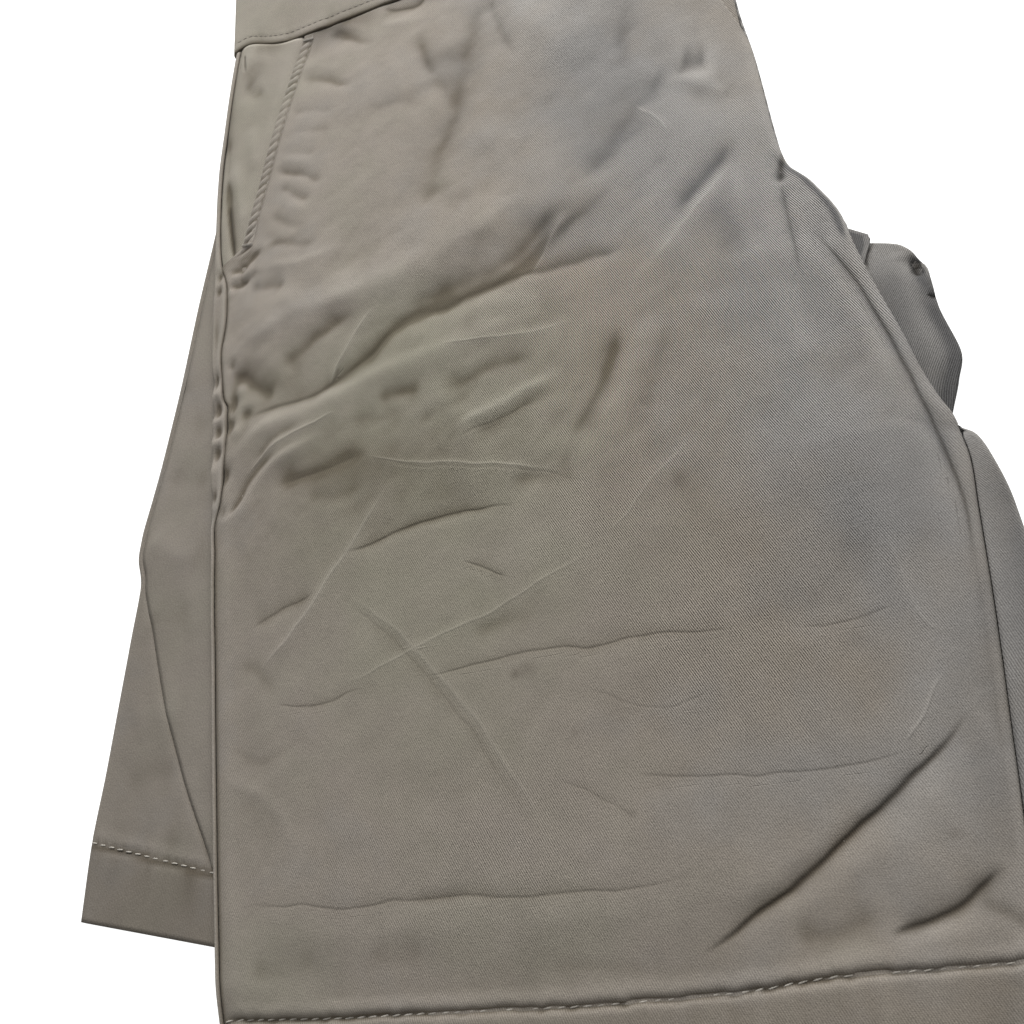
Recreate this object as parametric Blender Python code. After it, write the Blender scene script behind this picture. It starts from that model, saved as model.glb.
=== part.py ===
# Chino shorts, folded in half lengthwise and laid flat with the right front panel uppermost.
# The stack from the top: right front, right back, hidden layers, left back, left front.
# x runs across the leg, y from the hem up to the waist, z up from the surface they lie on.
# The tables are in millimetres, and "up" is the distance above the right leg's hem.

import math

import bmesh
import bpy
import numpy as np

MM = 0.001
CLOTH = 1.2  # wall of a panel
BAND = 2.0  # wall of the waistband: two cloths and what stiffens them
GAP = 0.3  # between two pieces that are sewn together
WAIST_UP = 444.0  # hem to waistband seam
BAND_HEIGHT = 42.0
SIDE_RISE = 8.0  # the waistband seam climbs this much at the side seam
SIDE_RISE_X = -103.0
SIDE_RISE_WIDTH = 13.0
OVERALL_UP = WAIST_UP + BAND_HEIGHT + SIDE_RISE
FLOOR = 0.7  # middle of a wall that lies on the surface, just clear of it
FOLD_TURN = 3.15  # radius at which the front panels turn towards each other at the centre front
MOUTH_BOTTOM_UP = 328.0
HEM_CORNER_UP = 61.0  # left leg's hem, where it meets its outer fold

# Middle height of each wall: left front, left back, right back, right front.
LEVELS = (
    # up, left_front, left_back, right_back, right_front
    (0, 0.6, 3.0, 4.5, 6.9),
    (390, 0.6, 3.0, 4.5, 6.9),
    (444, 0.6, 3.6, 6.1, 8.6),
    (500, 0.6, 3.6, 6.1, 8.6),
)

# Upper leg: outer fold, side seam, right edge of the front, right edge of the back, and how far
# the front's right edge turns down (1 is a quarter circle).
RIGHT_LEG = (
    # up, fold_x, side_seam_x, front_right_x, back_right_x, turn
    (0, -104, -101.5, 139, 160, 0),
    (26, -105, -102.5, 141, 161, 0),
    (75, -108, -105.5, 147, 165, 0),
    (120, -110.5, -107.5, 152.5, 166.5, 0),
    (150, -112, -109, 155.5, 165.5, 0),
    (166, -113, -110.3, 157, 162.5, 0),
    (172, -113.2, -110.6, 156, 160.5, 0),
    (178, -113.5, -111, 155, 156, 0),
    (188, -114, -111.5, 152.5, 149, 0.3),
    (205, -114.5, -112, 149, 143, 0.3),
    (228, -115.5, -110, 144.5, 139, 0.3),
    (243, -116, -109, 141.5, 142.5, 0.3),
    (253, -116, -109.5, 140, 146.5, 0.3),
    (258, -116.3, -110.5, 139.5, 141, 0.5),
    (264, -116.5, -111, 139, 134, 0.8),
    (280, -117.5, -112.5, 133, 127, 1),
    (296, -118, -110.5, 125, 119.5, 1),
    (320, -118, -111, 123.5, 118, 1),
    (348, -118.3, -116, 123.2, 118, 1),
    (363, -118.4, -116.2, 120.3, 116, 0),
    (380, -118, -115.8, 115.5, 116, 0),
    (410, -115, -112.8, 111, 116, 0),
    (444, -109.5, -107, 108, 116, 0),
)

# Left edge of the front panel: the side seam, then the mouth of the slant pocket.
POCKET_MOUTH = (
    # up, x
    (MOUTH_BOTTOM_UP + 1, -103.5),
    (WAIST_UP, -71),
)

# Lower leg, swung out from under the upper one. Each row is a line from its outer fold to its
# right edge; seam_in is how far the side seam lies in from the fold.
LEFT_LEG = (
    # left_x, left_up, seam_in, right_x, right_up
    (-166, HEM_CORNER_UP, 60, 98, 3),
    (-164, 87, 50, 103, 29),
    (-160, 112, 36, 111, 55),
    (-156.5, 137, 22, 123, 92),
    (-153, 162, 11, 138, 135),
    (-150, 185, 2.2, 156, 182),
    (-152, 197, 2.2, 161, 194),
    (-151, 206, 2.2, 162, 206),
    (-147, 222, 2.2, 160, 222),
    (-141, 248, 2.2, 158, 246),
    (-136, 272, 2.2, 137, 268),
    (-129, 312, 2.2, 124.5, 302),
    (-121, 353, 2.2, 123.5, 345),
    (-115.5, 385, 2.2, 121.5, 380),
    (-107.5, 444, 2.2, 121.5, 444),
)

# The largest folds of the right front: a line with a sideways bow, its half width and height.
FOLDS = (
    # name, x0, up0, x1, up1, bow, width, height
    ("side to crotch ridge", -114, 269, 72, 320, 0, 13, 4.0),
    ("trough under it", -72, 246, 60, 303, -3, 8, -3.0),
    ("second ridge", -114, 216, -2, 262, 9, 9, 3.2),
    ("wedge at the side seam", -116, 264, -70, 250, -2, 7, -2.2),
    ("short trough", -80, 213, -32, 217, 2, 6, -1.4),
    ("crotch ridge", 131, 272, 151, 180, 3, 5, 1.8),
    ("crotch trough", 133, 248, 151, 158, 0, 5, -1.6),
    ("corner crease", 124, 292, 122, 240, -1, 5, -1.2),
    ("ridge over the left hem", 58, 52, 132, 104, -7, 9, 2.0),
    ("crease over the left hem", 56, 34, 139, 96, -7, 5, -2.0),
    ("second hem crease", 107, 34, 140, 51, -1, 5, -1.4),
    ("hip valley", 4, 412, -13, 336, 3, 16, -1.6),
)
FRONT_LIFT = 1.0  # the front panel stands this far off the back one, away from its folds
LEAST_RELIEF = -0.6

CORE_CROWN = 3.0  # how far the hidden layers swell in the middle
CORE_INSET = 26.0  # from the outline of the layers round it
CORE_RISE = (-24.0, 32.0)  # what lies on it rises between these distances inside its edge
CORE_FROM_UP = 60.0
CORE_TO_UP = 402.0
LOOP = {"x": 34.0, "width": 10.0, "from_up": 437.0, "to_up": 483.5}
BUTTON = {"x": 109.0, "up": 465.0, "radius": 8.5, "thick": 2.6, "hole": 1.0, "hole_at": 2.1}

TWILL = {"color": (0.205, 0.187, 0.166), "roughness": 0.9}
HORN = {"color": (0.085, 0.066, 0.05), "roughness": 0.4}


def monotone(xs, ys, x):
    """A smooth curve through the points that doesn't overshoot them."""
    xs = np.asarray(xs, float)
    ys = np.asarray(ys, float)
    step = np.diff(xs)
    slope = np.diff(ys) / step
    tangent = np.zeros_like(ys)
    same = slope[:-1] * slope[1:] > 0
    tangent[1:-1][same] = 2 / (1 / slope[:-1][same] + 1 / slope[1:][same])
    tangent[0] = slope[0]
    tangent[-1] = slope[-1]
    x = np.clip(np.asarray(x, float), xs[0], xs[-1])
    i = np.clip(np.searchsorted(xs, x) - 1, 0, len(step) - 1)
    t = (x - xs[i]) / step[i]
    h = step[i]
    return (
        ys[i] * (1 + 2 * t) * (1 - t) ** 2
        + h * tangent[i] * t * (1 - t) ** 2
        + ys[i + 1] * t * t * (3 - 2 * t)
        - h * tangent[i + 1] * t * t * (1 - t)
    )


def smoothstep(value, low, high):
    t = np.clip((value - low) / (high - low), 0, 1)
    return t * t * (3 - 2 * t)


def column(table, number, at):
    rows = list(zip(*table))
    return monotone(rows[0], rows[number], at)


def level(number, up):
    return column(LEVELS, number, up)


def fold_x(up):
    return column(RIGHT_LEG, 1, up)


def side_seam_x(up):
    return column(RIGHT_LEG, 2, up)


def front_right_x(up):
    return column(RIGHT_LEG, 3, up)


def back_right_x(up):
    return column(RIGHT_LEG, 4, up)


def front_left_x(up):
    mouth = np.interp(up, *zip(*POCKET_MOUTH))
    return np.where(up > MOUTH_BOTTOM_UP, mouth, side_seam_x(up) + GAP)


def left_leg_right_x(up):
    rows = list(zip(*LEFT_LEG))
    return monotone(rows[4], rows[3], up)


def core_edges(up):
    left = fold_x(up) + CORE_INSET
    right = np.minimum(back_right_x(up), left_leg_right_x(up)) - CORE_INSET
    return left, right


def crown(x, up):
    """How far the hidden layers lift what lies on them."""
    left, right = core_edges(up)
    inside = np.minimum(x - left, right - x)
    ends = smoothstep(up, 15, 80) * (1 - smoothstep(up, 385, 440))
    return CORE_CROWN * ends * smoothstep(inside, *CORE_RISE)


def sink(x, up):
    """1 where the upper leg has run off the lower one and lies on the surface, else 0."""
    past_side = smoothstep(x - left_leg_right_x(up), 3, 31) * (1 - smoothstep(up, 150, 176))
    hem_line = np.interp(x, (LEFT_LEG[0][0], LEFT_LEG[0][3]), (LEFT_LEG[0][1], LEFT_LEG[0][4]))
    past_hem = smoothstep(hem_line - up, 8, 34)
    return 1 - (1 - past_side) * (1 - past_hem)


def relief(x, up):
    """The right front's folds, as height over the flat panel."""
    height = FRONT_LIFT * (1 - smoothstep(up, 424, 438)) * np.ones(np.shape(x))
    for _, x0, up0, x1, up1, bow, width, fold_height in FOLDS:
        run = np.array((x1 - x0, up1 - up0), float)
        length = np.hypot(*run)
        run /= length
        along = ((x - x0) * run[0] + (up - up0) * run[1]) / length
        aside = -(x - x0) * run[1] + (up - up0) * run[0]
        inside = np.clip(along, 0, 1)
        aside = aside - bow * 4 * inside * (1 - inside)
        fade = smoothstep(along, -0.02, 0.2) * (1 - smoothstep(along, 0.8, 1.02))
        height = height + fold_height * fade * np.exp(-((aside / width) ** 2))
    mouth = np.interp(up, *zip(*POCKET_MOUTH))
    over_facing = np.exp(-(((x - mouth) / 16) ** 2)) * smoothstep(up, 316, 330)
    over_shield = smoothstep(x, 84, 98) * smoothstep(up, 330, 350)
    height = np.maximum(height, LEAST_RELIEF + 1.7 * np.maximum(over_facing, over_shield))
    at_fold = smoothstep(x - fold_x(up), 1.5, 10)
    at_inseam = smoothstep(np.maximum(back_right_x(up) - x, 0), 1.5, 12)
    at_inseam = np.maximum(at_inseam, smoothstep(up, 176, 186))
    return height * at_fold * at_inseam


def right_back_z(x, up):
    z = level(3, up) + crown(x, up)
    return z - (z - FLOOR) * sink(x, up)


def right_front_z(x, up):
    return right_back_z(x, up) + level(4, up) - level(3, up) + relief(x, up)


def left_back_z(x, up):
    """The back turns down over the inseam and the seat seam to meet the surface."""
    down = smoothstep(x - left_leg_right_x(up), -9, -1) * (1 - smoothstep(up, 236, 248))
    z = level(2, up)
    return z - (z - FLOOR) * down


def seam_rise(x, up):
    """The last stretch below the waistband follows its seam, which climbs to the side."""
    return SIDE_RISE * np.exp(-(((x - SIDE_RISE_X) / SIDE_RISE_WIDTH) ** 2)) * smoothstep(up, 400, 444)


def twill(name, shade=1.0):
    material = bpy.data.materials.new(name)
    material.use_nodes = True
    shader = material.node_tree.nodes["Principled BSDF"]
    look = HORN if "button" in name else TWILL
    shader.inputs["Base Color"].default_value = (*(c * shade for c in look["color"]), 1)
    shader.inputs["Roughness"].default_value = look["roughness"]
    shader.inputs["Metallic"].default_value = 0
    return material


def place(mesh_object, material):
    bpy.context.scene.collection.objects.link(mesh_object)
    mesh_object.data.materials.append(material)
    mesh_object.data.shade_smooth()
    mesh_object.data.set_sharp_from_angle(angle=math.radians(40))


def closed_grid(name, outer, inner, shade):
    """One closed body between two grids of points, rows by columns, joined round their rims."""
    rows, columns = outer.shape[:2]
    points = np.concatenate([outer.reshape(-1, 3), inner.reshape(-1, 3)])
    points[:, 2] = np.maximum(points[:, 2], 0)
    points[:, 1] -= OVERALL_UP / 2
    below = rows * columns
    faces = []
    for r in range(rows - 1):
        for c in range(columns - 1):
            a = r * columns + c
            quad = (a, a + 1, a + columns + 1, a + columns)
            faces.append(quad)
            faces.append(tuple(below + corner for corner in reversed(quad)))
    border = list(range(columns))
    border += [r * columns + columns - 1 for r in range(1, rows)]
    border += [(rows - 1) * columns + c for c in range(columns - 2, -1, -1)]
    border += [r * columns for r in range(rows - 2, 0, -1)]
    for a, b in zip(border, border[1:] + border[:1]):
        faces.append((b, a, below + a, below + b))
    mesh = bpy.data.meshes.new(name)
    mesh.from_pydata((points * MM).tolist(), [], faces)
    place(bpy.data.objects.new(name, mesh), twill(name + "_twill", shade))


def wall(name, middle, thickness, shade=1.0):
    """A closed wall round a grid of middle points."""
    middle = np.asarray(middle, float)
    normal = np.cross(np.gradient(middle, axis=1), np.gradient(middle, axis=0))
    normal /= np.linalg.norm(normal, axis=2, keepdims=True)
    closed_grid(name, middle + normal * thickness / 2, middle - normal * thickness / 2, shade)


def rows_between(low, high, step, marks=()):
    """Heights about a step apart, with a row on each mark."""
    even = np.linspace(low, high, max(2, round((high - low) / step) + 1))
    kept = [up for up in even if all(abs(up - mark) > step / 3 for mark in marks)]
    kept = sorted(set(kept) | set(marks) | {low, high})
    return [float(up) for up in kept]


def panel_rows():
    """Both right panels and the pocket facing share their rows, so their seams stay parallel."""
    marks = (26, 172, 178, 188, 243, 253, 262, MOUTH_BOTTOM_UP - 1, MOUTH_BOTTOM_UP + 1, 363)
    return rows_between(0, WAIST_UP - GAP, 14, marks)


def right_front():
    grid = []
    for up in panel_rows():
        left = front_left_x(up) + (GAP if up < MOUTH_BOTTOM_UP else 0)
        right = front_right_x(up)
        turn = column(RIGHT_LEG, 5, up)
        if up < 174:
            right -= GAP / 2
        x = np.linspace(left, right - FOLD_TURN, 22)
        row = [(px, up + seam_rise(px, up), float(right_front_z(px, up))) for px in x]
        top = row[-1][2]
        for step in (1, 2, 3):
            angle = math.radians(30 * step)
            flat_x = right - FOLD_TURN + FOLD_TURN * step / 3
            round_x = right - FOLD_TURN + FOLD_TURN * math.sin(angle)
            flat_z = float(right_front_z(flat_x, up))
            round_z = top - (FOLD_TURN - GAP / 2) * (1 - math.cos(angle))
            px = flat_x + (round_x - flat_x) * turn
            row.append((px, up, flat_z + (round_z - flat_z) * turn))
        grid.append(row)
    wall("right_front", grid, CLOTH)


def right_back():
    grid = []
    for up in panel_rows():
        left = float(fold_x(up))
        right = float(back_right_x(up))
        row = []
        seam = float(side_seam_x(up))
        radius = float(level(4, up) - level(3, up)) / 2
        for px in np.linspace(seam, left + radius, 3)[:-1]:
            row.append((px, float(right_front_z(px, up))))
        centre_z = float(right_back_z(left + radius, up)) + radius
        for step in range(5):
            angle = math.radians(90 + 45 * step)
            row.append((left + radius + radius * math.cos(angle), centre_z + radius * math.sin(angle)))
        in_leg = up < 174
        last = right - radius if in_leg else right - 1.5
        for share in np.linspace(0, 1, 16)[1:] ** 1.25:
            px = left + radius + (last - left - radius) * share
            row.append((px, float(right_back_z(px, up))))
        if in_leg:
            centre_z = row[-1][1] + radius
            for step in range(1, 5):
                angle = math.radians(-90 + 45 * step)
                row.append((last + radius * math.cos(angle), centre_z + radius * math.sin(angle)))
            inseam = float(front_right_x(up)) + GAP / 2
            for px in np.linspace(last, min(inseam, last - 0.6), 3)[1:]:
                row.append((px, float(right_front_z(px, up))))
        else:
            for step in range(1, 7):
                px = last + 0.25 * step
                row.append((px, float(right_back_z(px, up))))
        grid.append([(px, up + float(seam_rise(px, up)), z) for px, z in row])
    wall("right_back", np.array(grid)[:, ::-1], CLOTH, 0.97)


def left_leg_rows(count):
    """The lower leg's row lines: their ends, and how far in the side seam lies."""
    table = np.array(LEFT_LEG, float)
    number = np.arange(len(table))
    at = np.linspace(0, len(table) - 1, count)
    smooth = [monotone(number, table[:, c], at) for c in range(5)]
    for left_x, left_up, seam_in, right_x, right_up in zip(*smooth):
        start = np.array((left_x, left_up))
        end = np.array((right_x, right_up))
        yield start, end, seam_in


def left_front():
    grid = []
    for start, end, seam_in in left_leg_rows(29):
        up = end[1]
        run = end - start
        width = np.hypot(*run)
        run /= width
        base = float(level(1, up))
        top = float(level(2, start[1]))
        radius = (top - base) / 2
        row = []
        for aside in np.linspace(seam_in, radius, 4)[:-1]:
            row.append((aside, top))
        for step in range(5):
            angle = math.radians(90 + 45 * step)
            row.append((radius + radius * math.cos(angle), base + radius + radius * math.sin(angle)))
        at_front = float(smoothstep(up, 252, 268))
        inset = FOLD_TURN + 10.5 * (1 - at_front)
        for aside in np.linspace(radius, width - inset, 9)[1:]:
            row.append((aside, base))
        turn = float(level(4, up) - level(1, up)) / 2 - GAP / 2
        for step in range(1, 5):
            quarter = math.radians(22.5 * step)
            flat_aside = width - inset + 0.75 * step
            round_aside = width - FOLD_TURN + FOLD_TURN * math.sin(quarter)
            aside = flat_aside + (round_aside - flat_aside) * at_front
            row.append((aside, base + turn * (1 - math.cos(quarter)) * at_front))
        grid.append([(*(start + run * aside), z) for aside, z in row])
    wall("left_front", np.array(grid)[:, ::-1], CLOTH, 0.95)


def left_back():
    grid = []
    for start, end, seam_in in left_leg_rows(29):
        up = end[1]
        run = end - start
        width = np.hypot(*run)
        run /= width
        at_front = float(smoothstep(up, 238, 252))
        clear = 1.5 + 7 * float(1 - smoothstep(up, 268, 284))
        right = width - (FOLD_TURN + clear) * at_front
        row = []
        turned = np.linspace(right - 10, right, 5)
        for aside in [*np.linspace(seam_in + GAP, right - 10, 13)[:-1], *turned]:
            x, line_up = start + run * aside
            row.append((x, line_up, float(left_back_z(x, line_up))))
        grid.append(row)
    wall("left_back", grid, CLOTH, 0.93)


def right_pocket_facing():
    grid = []
    for up in [row for row in panel_rows() if row > MOUTH_BOTTOM_UP]:
        left = float(side_seam_x(up)) + GAP
        right = float(np.interp(up, *zip(*POCKET_MOUTH))) + 11
        row = []
        for px in np.linspace(left, right, 9):
            high = float(level(4, up) - level(3, up))
            z = float(right_back_z(px, up)) + high - (high - 1.6) * float(smoothstep(px - left, 1, 7))
            row.append((px, up + float(seam_rise(px, up)), z))
        grid.append(row)
    wall("right_pocket_facing", grid, CLOTH, 1.04)


def fly_shield():
    grid = []
    for up in rows_between(364, WAIST_UP - GAP, 15):
        grid.append([(px, up, float(right_back_z(px, up)) + 1.75) for px in np.linspace(101, 121, 4)])
    wall("fly_shield", grid, CLOTH, 0.9)


def waistband(name, upper, lower, side_x, upper_end, lower_end, shade):
    """One half of the waistband, folded at the side: its upper run, the fold and its lower run."""
    radius = (upper - lower) / 2
    middle = (upper + lower) / 2
    near_side = np.linspace(-68, side_x + radius + 3, 7)
    section = [(x, upper) for x in [*np.linspace(upper_end, -80, 8)[:-1], *near_side]]
    for step in range(5):
        angle = math.radians(90 + 45 * step)
        section.append((side_x + radius + radius * math.cos(angle), middle + radius * math.sin(angle)))
    section += [(x, lower) for x in [*near_side[::-1], *np.linspace(-80, lower_end, 6)[1:]]]
    grid = []
    for up in np.linspace(WAIST_UP + GAP, WAIST_UP + BAND_HEIGHT, 4):
        grid.append([(x, up + float(seam_rise(x, WAIST_UP)), z) for x, z in section])
    wall(name, np.array(grid)[:, ::-1], BAND, shade)


def waistband_levels(number):
    return float(level(number, WAIST_UP))


def hidden_layers():
    """Pocket bags, seat fullness and seam allowances, as one rounded solid between the two legs."""
    tops = []
    bottoms = []
    for up in rows_between(CORE_FROM_UP, CORE_TO_UP, 19):
        left, right = core_edges(up)
        x = np.linspace(left, right, 18)
        top = right_back_z(x, up) - CLOTH / 2 - 2 * GAP
        base = left_back_z(x, up) + CLOTH / 2 + GAP
        tops.append([(px, up, z) for px, z in zip(x, top)])
        bottoms.append([(px, up, z) for px, z in zip(x, base)])
    closed_grid("hidden_layers", np.array(tops), np.array(bottoms), 0.9)


def belt_loop():
    """A strip sewn flat over the waistband, bent down a little at both ends."""
    band_top = waistband_levels(4) + BAND / 2
    grid = []
    for up, rise in zip(np.linspace(LOOP["from_up"], LOOP["to_up"], 9), (0, 0.6, 1, 1, 1, 1, 1, 0.7, 0.3)):
        z = band_top + GAP + CLOTH / 2 + 0.9 * rise
        grid.append([(LOOP["x"] + side * LOOP["width"] / 2, up, z) for side in (-1, 0, 1)])
    wall("right_front_belt_loop", grid, CLOTH)


def waistband_button():
    """A sewn-through button: a turned disc with a rim and four holes."""
    base = waistband_levels(4) + BAND / 2 + GAP
    radius = BUTTON["radius"]
    thick = BUTTON["thick"]
    profile = (
        (0, 0),
        (radius - 1, 0),
        (radius, 0.8),
        (radius, thick - 0.5),
        (radius - 0.6, thick),
        (radius - 1.8, thick),
        (radius - 2.8, thick - 0.8),
        (0, thick - 0.8),
    )
    mesh = bpy.data.meshes.new("waistband_button")
    shape = bmesh.new()
    ring = [shape.verts.new((r * MM, 0, z * MM)) for r, z in profile]
    edges = [shape.edges.new(pair) for pair in zip(ring, ring[1:])]
    bmesh.ops.spin(shape, geom=ring + edges, cent=(0, 0, 0), axis=(0, 0, 1), angle=math.tau, steps=28)
    bmesh.ops.remove_doubles(shape, verts=shape.verts, dist=1e-6)
    bmesh.ops.recalc_face_normals(shape, faces=shape.faces)
    shape.to_mesh(mesh)
    shape.free()
    button = bpy.data.objects.new("waistband_button", mesh)
    button.location = (BUTTON["x"] * MM, (BUTTON["up"] - OVERALL_UP / 2) * MM, base * MM)
    place(button, twill("waistband_button_horn"))
    for number in range(4):
        angle = math.radians(45 + 90 * number)
        drill = bpy.data.meshes.new(f"button_drill_{number}")
        shape = bmesh.new()
        hole = BUTTON["hole"] * MM
        bmesh.ops.create_cone(
            shape, cap_ends=True, segments=10, radius1=hole, radius2=hole, depth=4 * thick * MM
        )
        shape.to_mesh(drill)
        shape.free()
        cutter = bpy.data.objects.new(drill.name, drill)
        aside = BUTTON["hole_at"] * MM
        cutter.location = (aside * math.cos(angle), aside * math.sin(angle), 0)
        cutter.parent = button
        cutter.hide_render = True
        cutter.display_type = "WIRE"
        bpy.context.scene.collection.objects.link(cutter)
        cut = button.modifiers.new(drill.name, "BOOLEAN")
        cut.operation = "DIFFERENCE"
        cut.object = cutter


for old in list(bpy.data.objects):
    bpy.data.objects.remove(old)

left_front()
left_back()
hidden_layers()
right_back()
right_front()
right_pocket_facing()
fly_shield()
waistband("waistband_right", waistband_levels(4), waistband_levels(3), -110.5, 119, 116, 1.0)
waistband("waistband_left", waistband_levels(2), 1.1, -108.5, 116, 121, 0.93)
belt_loop()
waistband_button()
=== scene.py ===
# Chino shorts in washed cotton twill, folded lengthwise and laid flat, the right front uppermost.
# The cloth is worked out in millimetres: x across the leg, up from the right leg's hem, z from
# the surface. The tables hold the garment's outlines, folds and seams as they lie.
import math

import bpy
import numpy as np
from mathutils import Matrix, Vector


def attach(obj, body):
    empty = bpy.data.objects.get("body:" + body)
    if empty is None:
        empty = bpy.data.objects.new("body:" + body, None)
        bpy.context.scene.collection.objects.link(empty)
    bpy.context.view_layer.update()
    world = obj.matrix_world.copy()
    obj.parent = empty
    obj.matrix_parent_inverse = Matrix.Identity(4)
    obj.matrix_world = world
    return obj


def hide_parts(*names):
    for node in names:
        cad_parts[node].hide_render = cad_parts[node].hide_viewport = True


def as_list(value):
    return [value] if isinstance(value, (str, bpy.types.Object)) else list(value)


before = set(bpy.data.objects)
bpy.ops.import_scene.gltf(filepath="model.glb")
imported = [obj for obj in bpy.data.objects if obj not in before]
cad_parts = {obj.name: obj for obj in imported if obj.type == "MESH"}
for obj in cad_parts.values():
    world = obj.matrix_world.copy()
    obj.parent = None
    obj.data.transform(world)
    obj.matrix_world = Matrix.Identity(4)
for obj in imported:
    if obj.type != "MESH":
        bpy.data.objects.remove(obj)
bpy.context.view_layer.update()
print("frame loaded:", ", ".join(sorted(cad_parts)))

mm = 0.001
hemY = -247.0  # the hem's line in the frame
cloth = {"thick": 0.85, "gap": 0.25}


def smoothStep(value, low, high):
    t = np.clip((value - low) / (high - low), 0, 1)
    return t * t * (3 - 2 * t)


def within(value, low, full, last, high):
    # 1 from full to last, fading to 0 at low and high
    return smoothStep(value, low, full) * (1 - smoothStep(value, last, high))


def hump(value, width):
    # 1 at zero, falling away on both sides
    return np.exp(-((value / width) ** 2))


def curveThrough(xs, ys, x):
    # a smooth curve through the points that doesn't overshoot them
    xs, ys = np.asarray(xs, float), np.asarray(ys, float)
    step = np.diff(xs)
    slope = np.diff(ys) / step
    tangent = np.zeros_like(ys)
    same = slope[:-1] * slope[1:] > 0
    tangent[1:-1][same] = 2 / (1 / slope[:-1][same] + 1 / slope[1:][same])
    tangent[0], tangent[-1] = slope[0], slope[-1]
    x = np.clip(np.asarray(x, float), xs[0], xs[-1])
    i = np.clip(np.searchsorted(xs, x) - 1, 0, len(step) - 1)
    t, h = (x - xs[i]) / step[i], step[i]
    rise = ys[i] * (1 + 2 * t) * (1 - t) ** 2 + ys[i + 1] * t * t * (3 - 2 * t)
    return rise + h * tangent[i] * t * (1 - t) ** 2 - h * tangent[i + 1] * t * t * (1 - t)


def column(table, number, at, by=0):
    rows = list(zip(*table))
    return curveThrough(rows[by], rows[number], at)


def softNoise(x, y, size, seed):
    # value noise from -1 to 1, its lumps about as wide as size
    table = np.random.default_rng(seed).uniform(-1, 1, (64, 64))
    gx, gy = np.asarray(x, float) / size + 500, np.asarray(y, float) / size + 500
    i, j = np.floor(gx).astype(int), np.floor(gy).astype(int)
    fx, fy = gx - i, gy - j
    fx, fy = fx * fx * (3 - 2 * fx), fy * fy * (3 - 2 * fy)
    a, b = table[i % 64, j % 64], table[(i + 1) % 64, j % 64]
    c, d = table[i % 64, (j + 1) % 64], table[(i + 1) % 64, (j + 1) % 64]
    return (a * (1 - fx) + b * fx) * (1 - fy) + (c * (1 - fx) + d * fx) * fy


def smoothPath(points, count=26):
    # Catmull-Rom through a few given points
    p = np.asarray(points, float)
    p = np.vstack([2 * p[0] - p[1], p, 2 * p[-1] - p[-2]])
    spans = len(p) - 3
    out = []
    for at in np.linspace(0, spans - 1e-6, count):
        i, t = int(at), at - int(at)
        a, b, c, d = p[i : i + 4]
        cubic = 2 * b + (c - a) * t + (2 * a - 5 * b + 4 * c - d) * t * t
        out.append(0.5 * (cubic + (3 * b - 3 * c + d - a) * t**3))
    return np.array(out)


def nearPath(x, up, points):
    # signed distance to a path, positive on its left, and how far along it, from 0 to 1
    path = smoothPath(points)
    best = np.full(np.shape(x), 1e9)
    side, along = np.zeros(np.shape(x)), np.zeros(np.shape(x))
    runs = np.hypot(*np.diff(path, axis=0).T)
    done = 0.0
    for (ax, ay), (bx, by), run in zip(path[:-1], path[1:], runs):
        ux, uy = (bx - ax) / run, (by - ay) / run
        t = np.clip((x - ax) * ux + (up - ay) * uy, 0, run)
        dx, dy = x - ax - t * ux, up - ay - t * uy
        d = dx * dx + dy * dy
        nearer = d < best
        best = np.where(nearer, d, best)
        side = np.where(nearer, np.sign(ux * (up - ay) - uy * (x - ax)), side)
        along = np.where(nearer, (done + t) / runs.sum(), along)
        done += run
    return np.sqrt(best) * np.where(side == 0, 1, side), along


def foldHeight(x, up, folds):
    height = np.zeros(np.shape(x))
    for points, above, below, soft, rise, *_ in folds:
        ends = np.asarray(points, float)
        reach = 4 * max(above, below) + 4
        low, high = ends.min(0) - reach, ends.max(0) + reach
        inside = (x > low[0]) & (x < high[0]) & (up > low[1]) & (up < high[1])
        if not inside.any():
            continue
        d, along = nearPath(x[inside], up[inside], points)
        width = np.where(d > 0, above, below)
        profile = np.exp(-(np.sqrt(d * d + soft * soft) - soft) / width)
        profile *= 0.85 + 0.3 * softNoise(x[inside], up[inside], 13, 91)
        height[inside] += rise * profile * within(along, 0.0, 0.24, 0.72, 1.0)
    return height


def blurred(z, reach):
    for axis in (0, 1):
        for _ in range(2):
            pad = [(reach + 1, reach) if a == axis else (0, 0) for a in (0, 1)]
            total = np.cumsum(np.pad(z, pad, mode="edge"), axis=axis)
            n = 2 * reach + 1
            length = z.shape[axis]
            z = (np.take(total, range(n, n + length), axis) - np.take(total, range(length), axis)) / n
    return z


def wearAndShadeOf(z):
    # 0.5 on plain cloth, more on ridges that rub, less in creases, which are painted darker for the shade
    # in them and a little dirt
    fine, broad = z - blurred(z, 2), z - blurred(z, 8)
    rise = 0.4 * fine + 0.1 * broad
    return np.clip(0.5 + np.where(rise > 0, 0.6, 1.5) * rise, 0, 1)


def patchSum(x, up, patches):
    total = np.zeros(np.shape(x))
    for cx, cu, wide, long, amount in patches:
        total += amount * np.exp(-((((x - cx) / wide) ** 2 + ((up - cu) / long) ** 2) ** 1.3))
    return total


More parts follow.
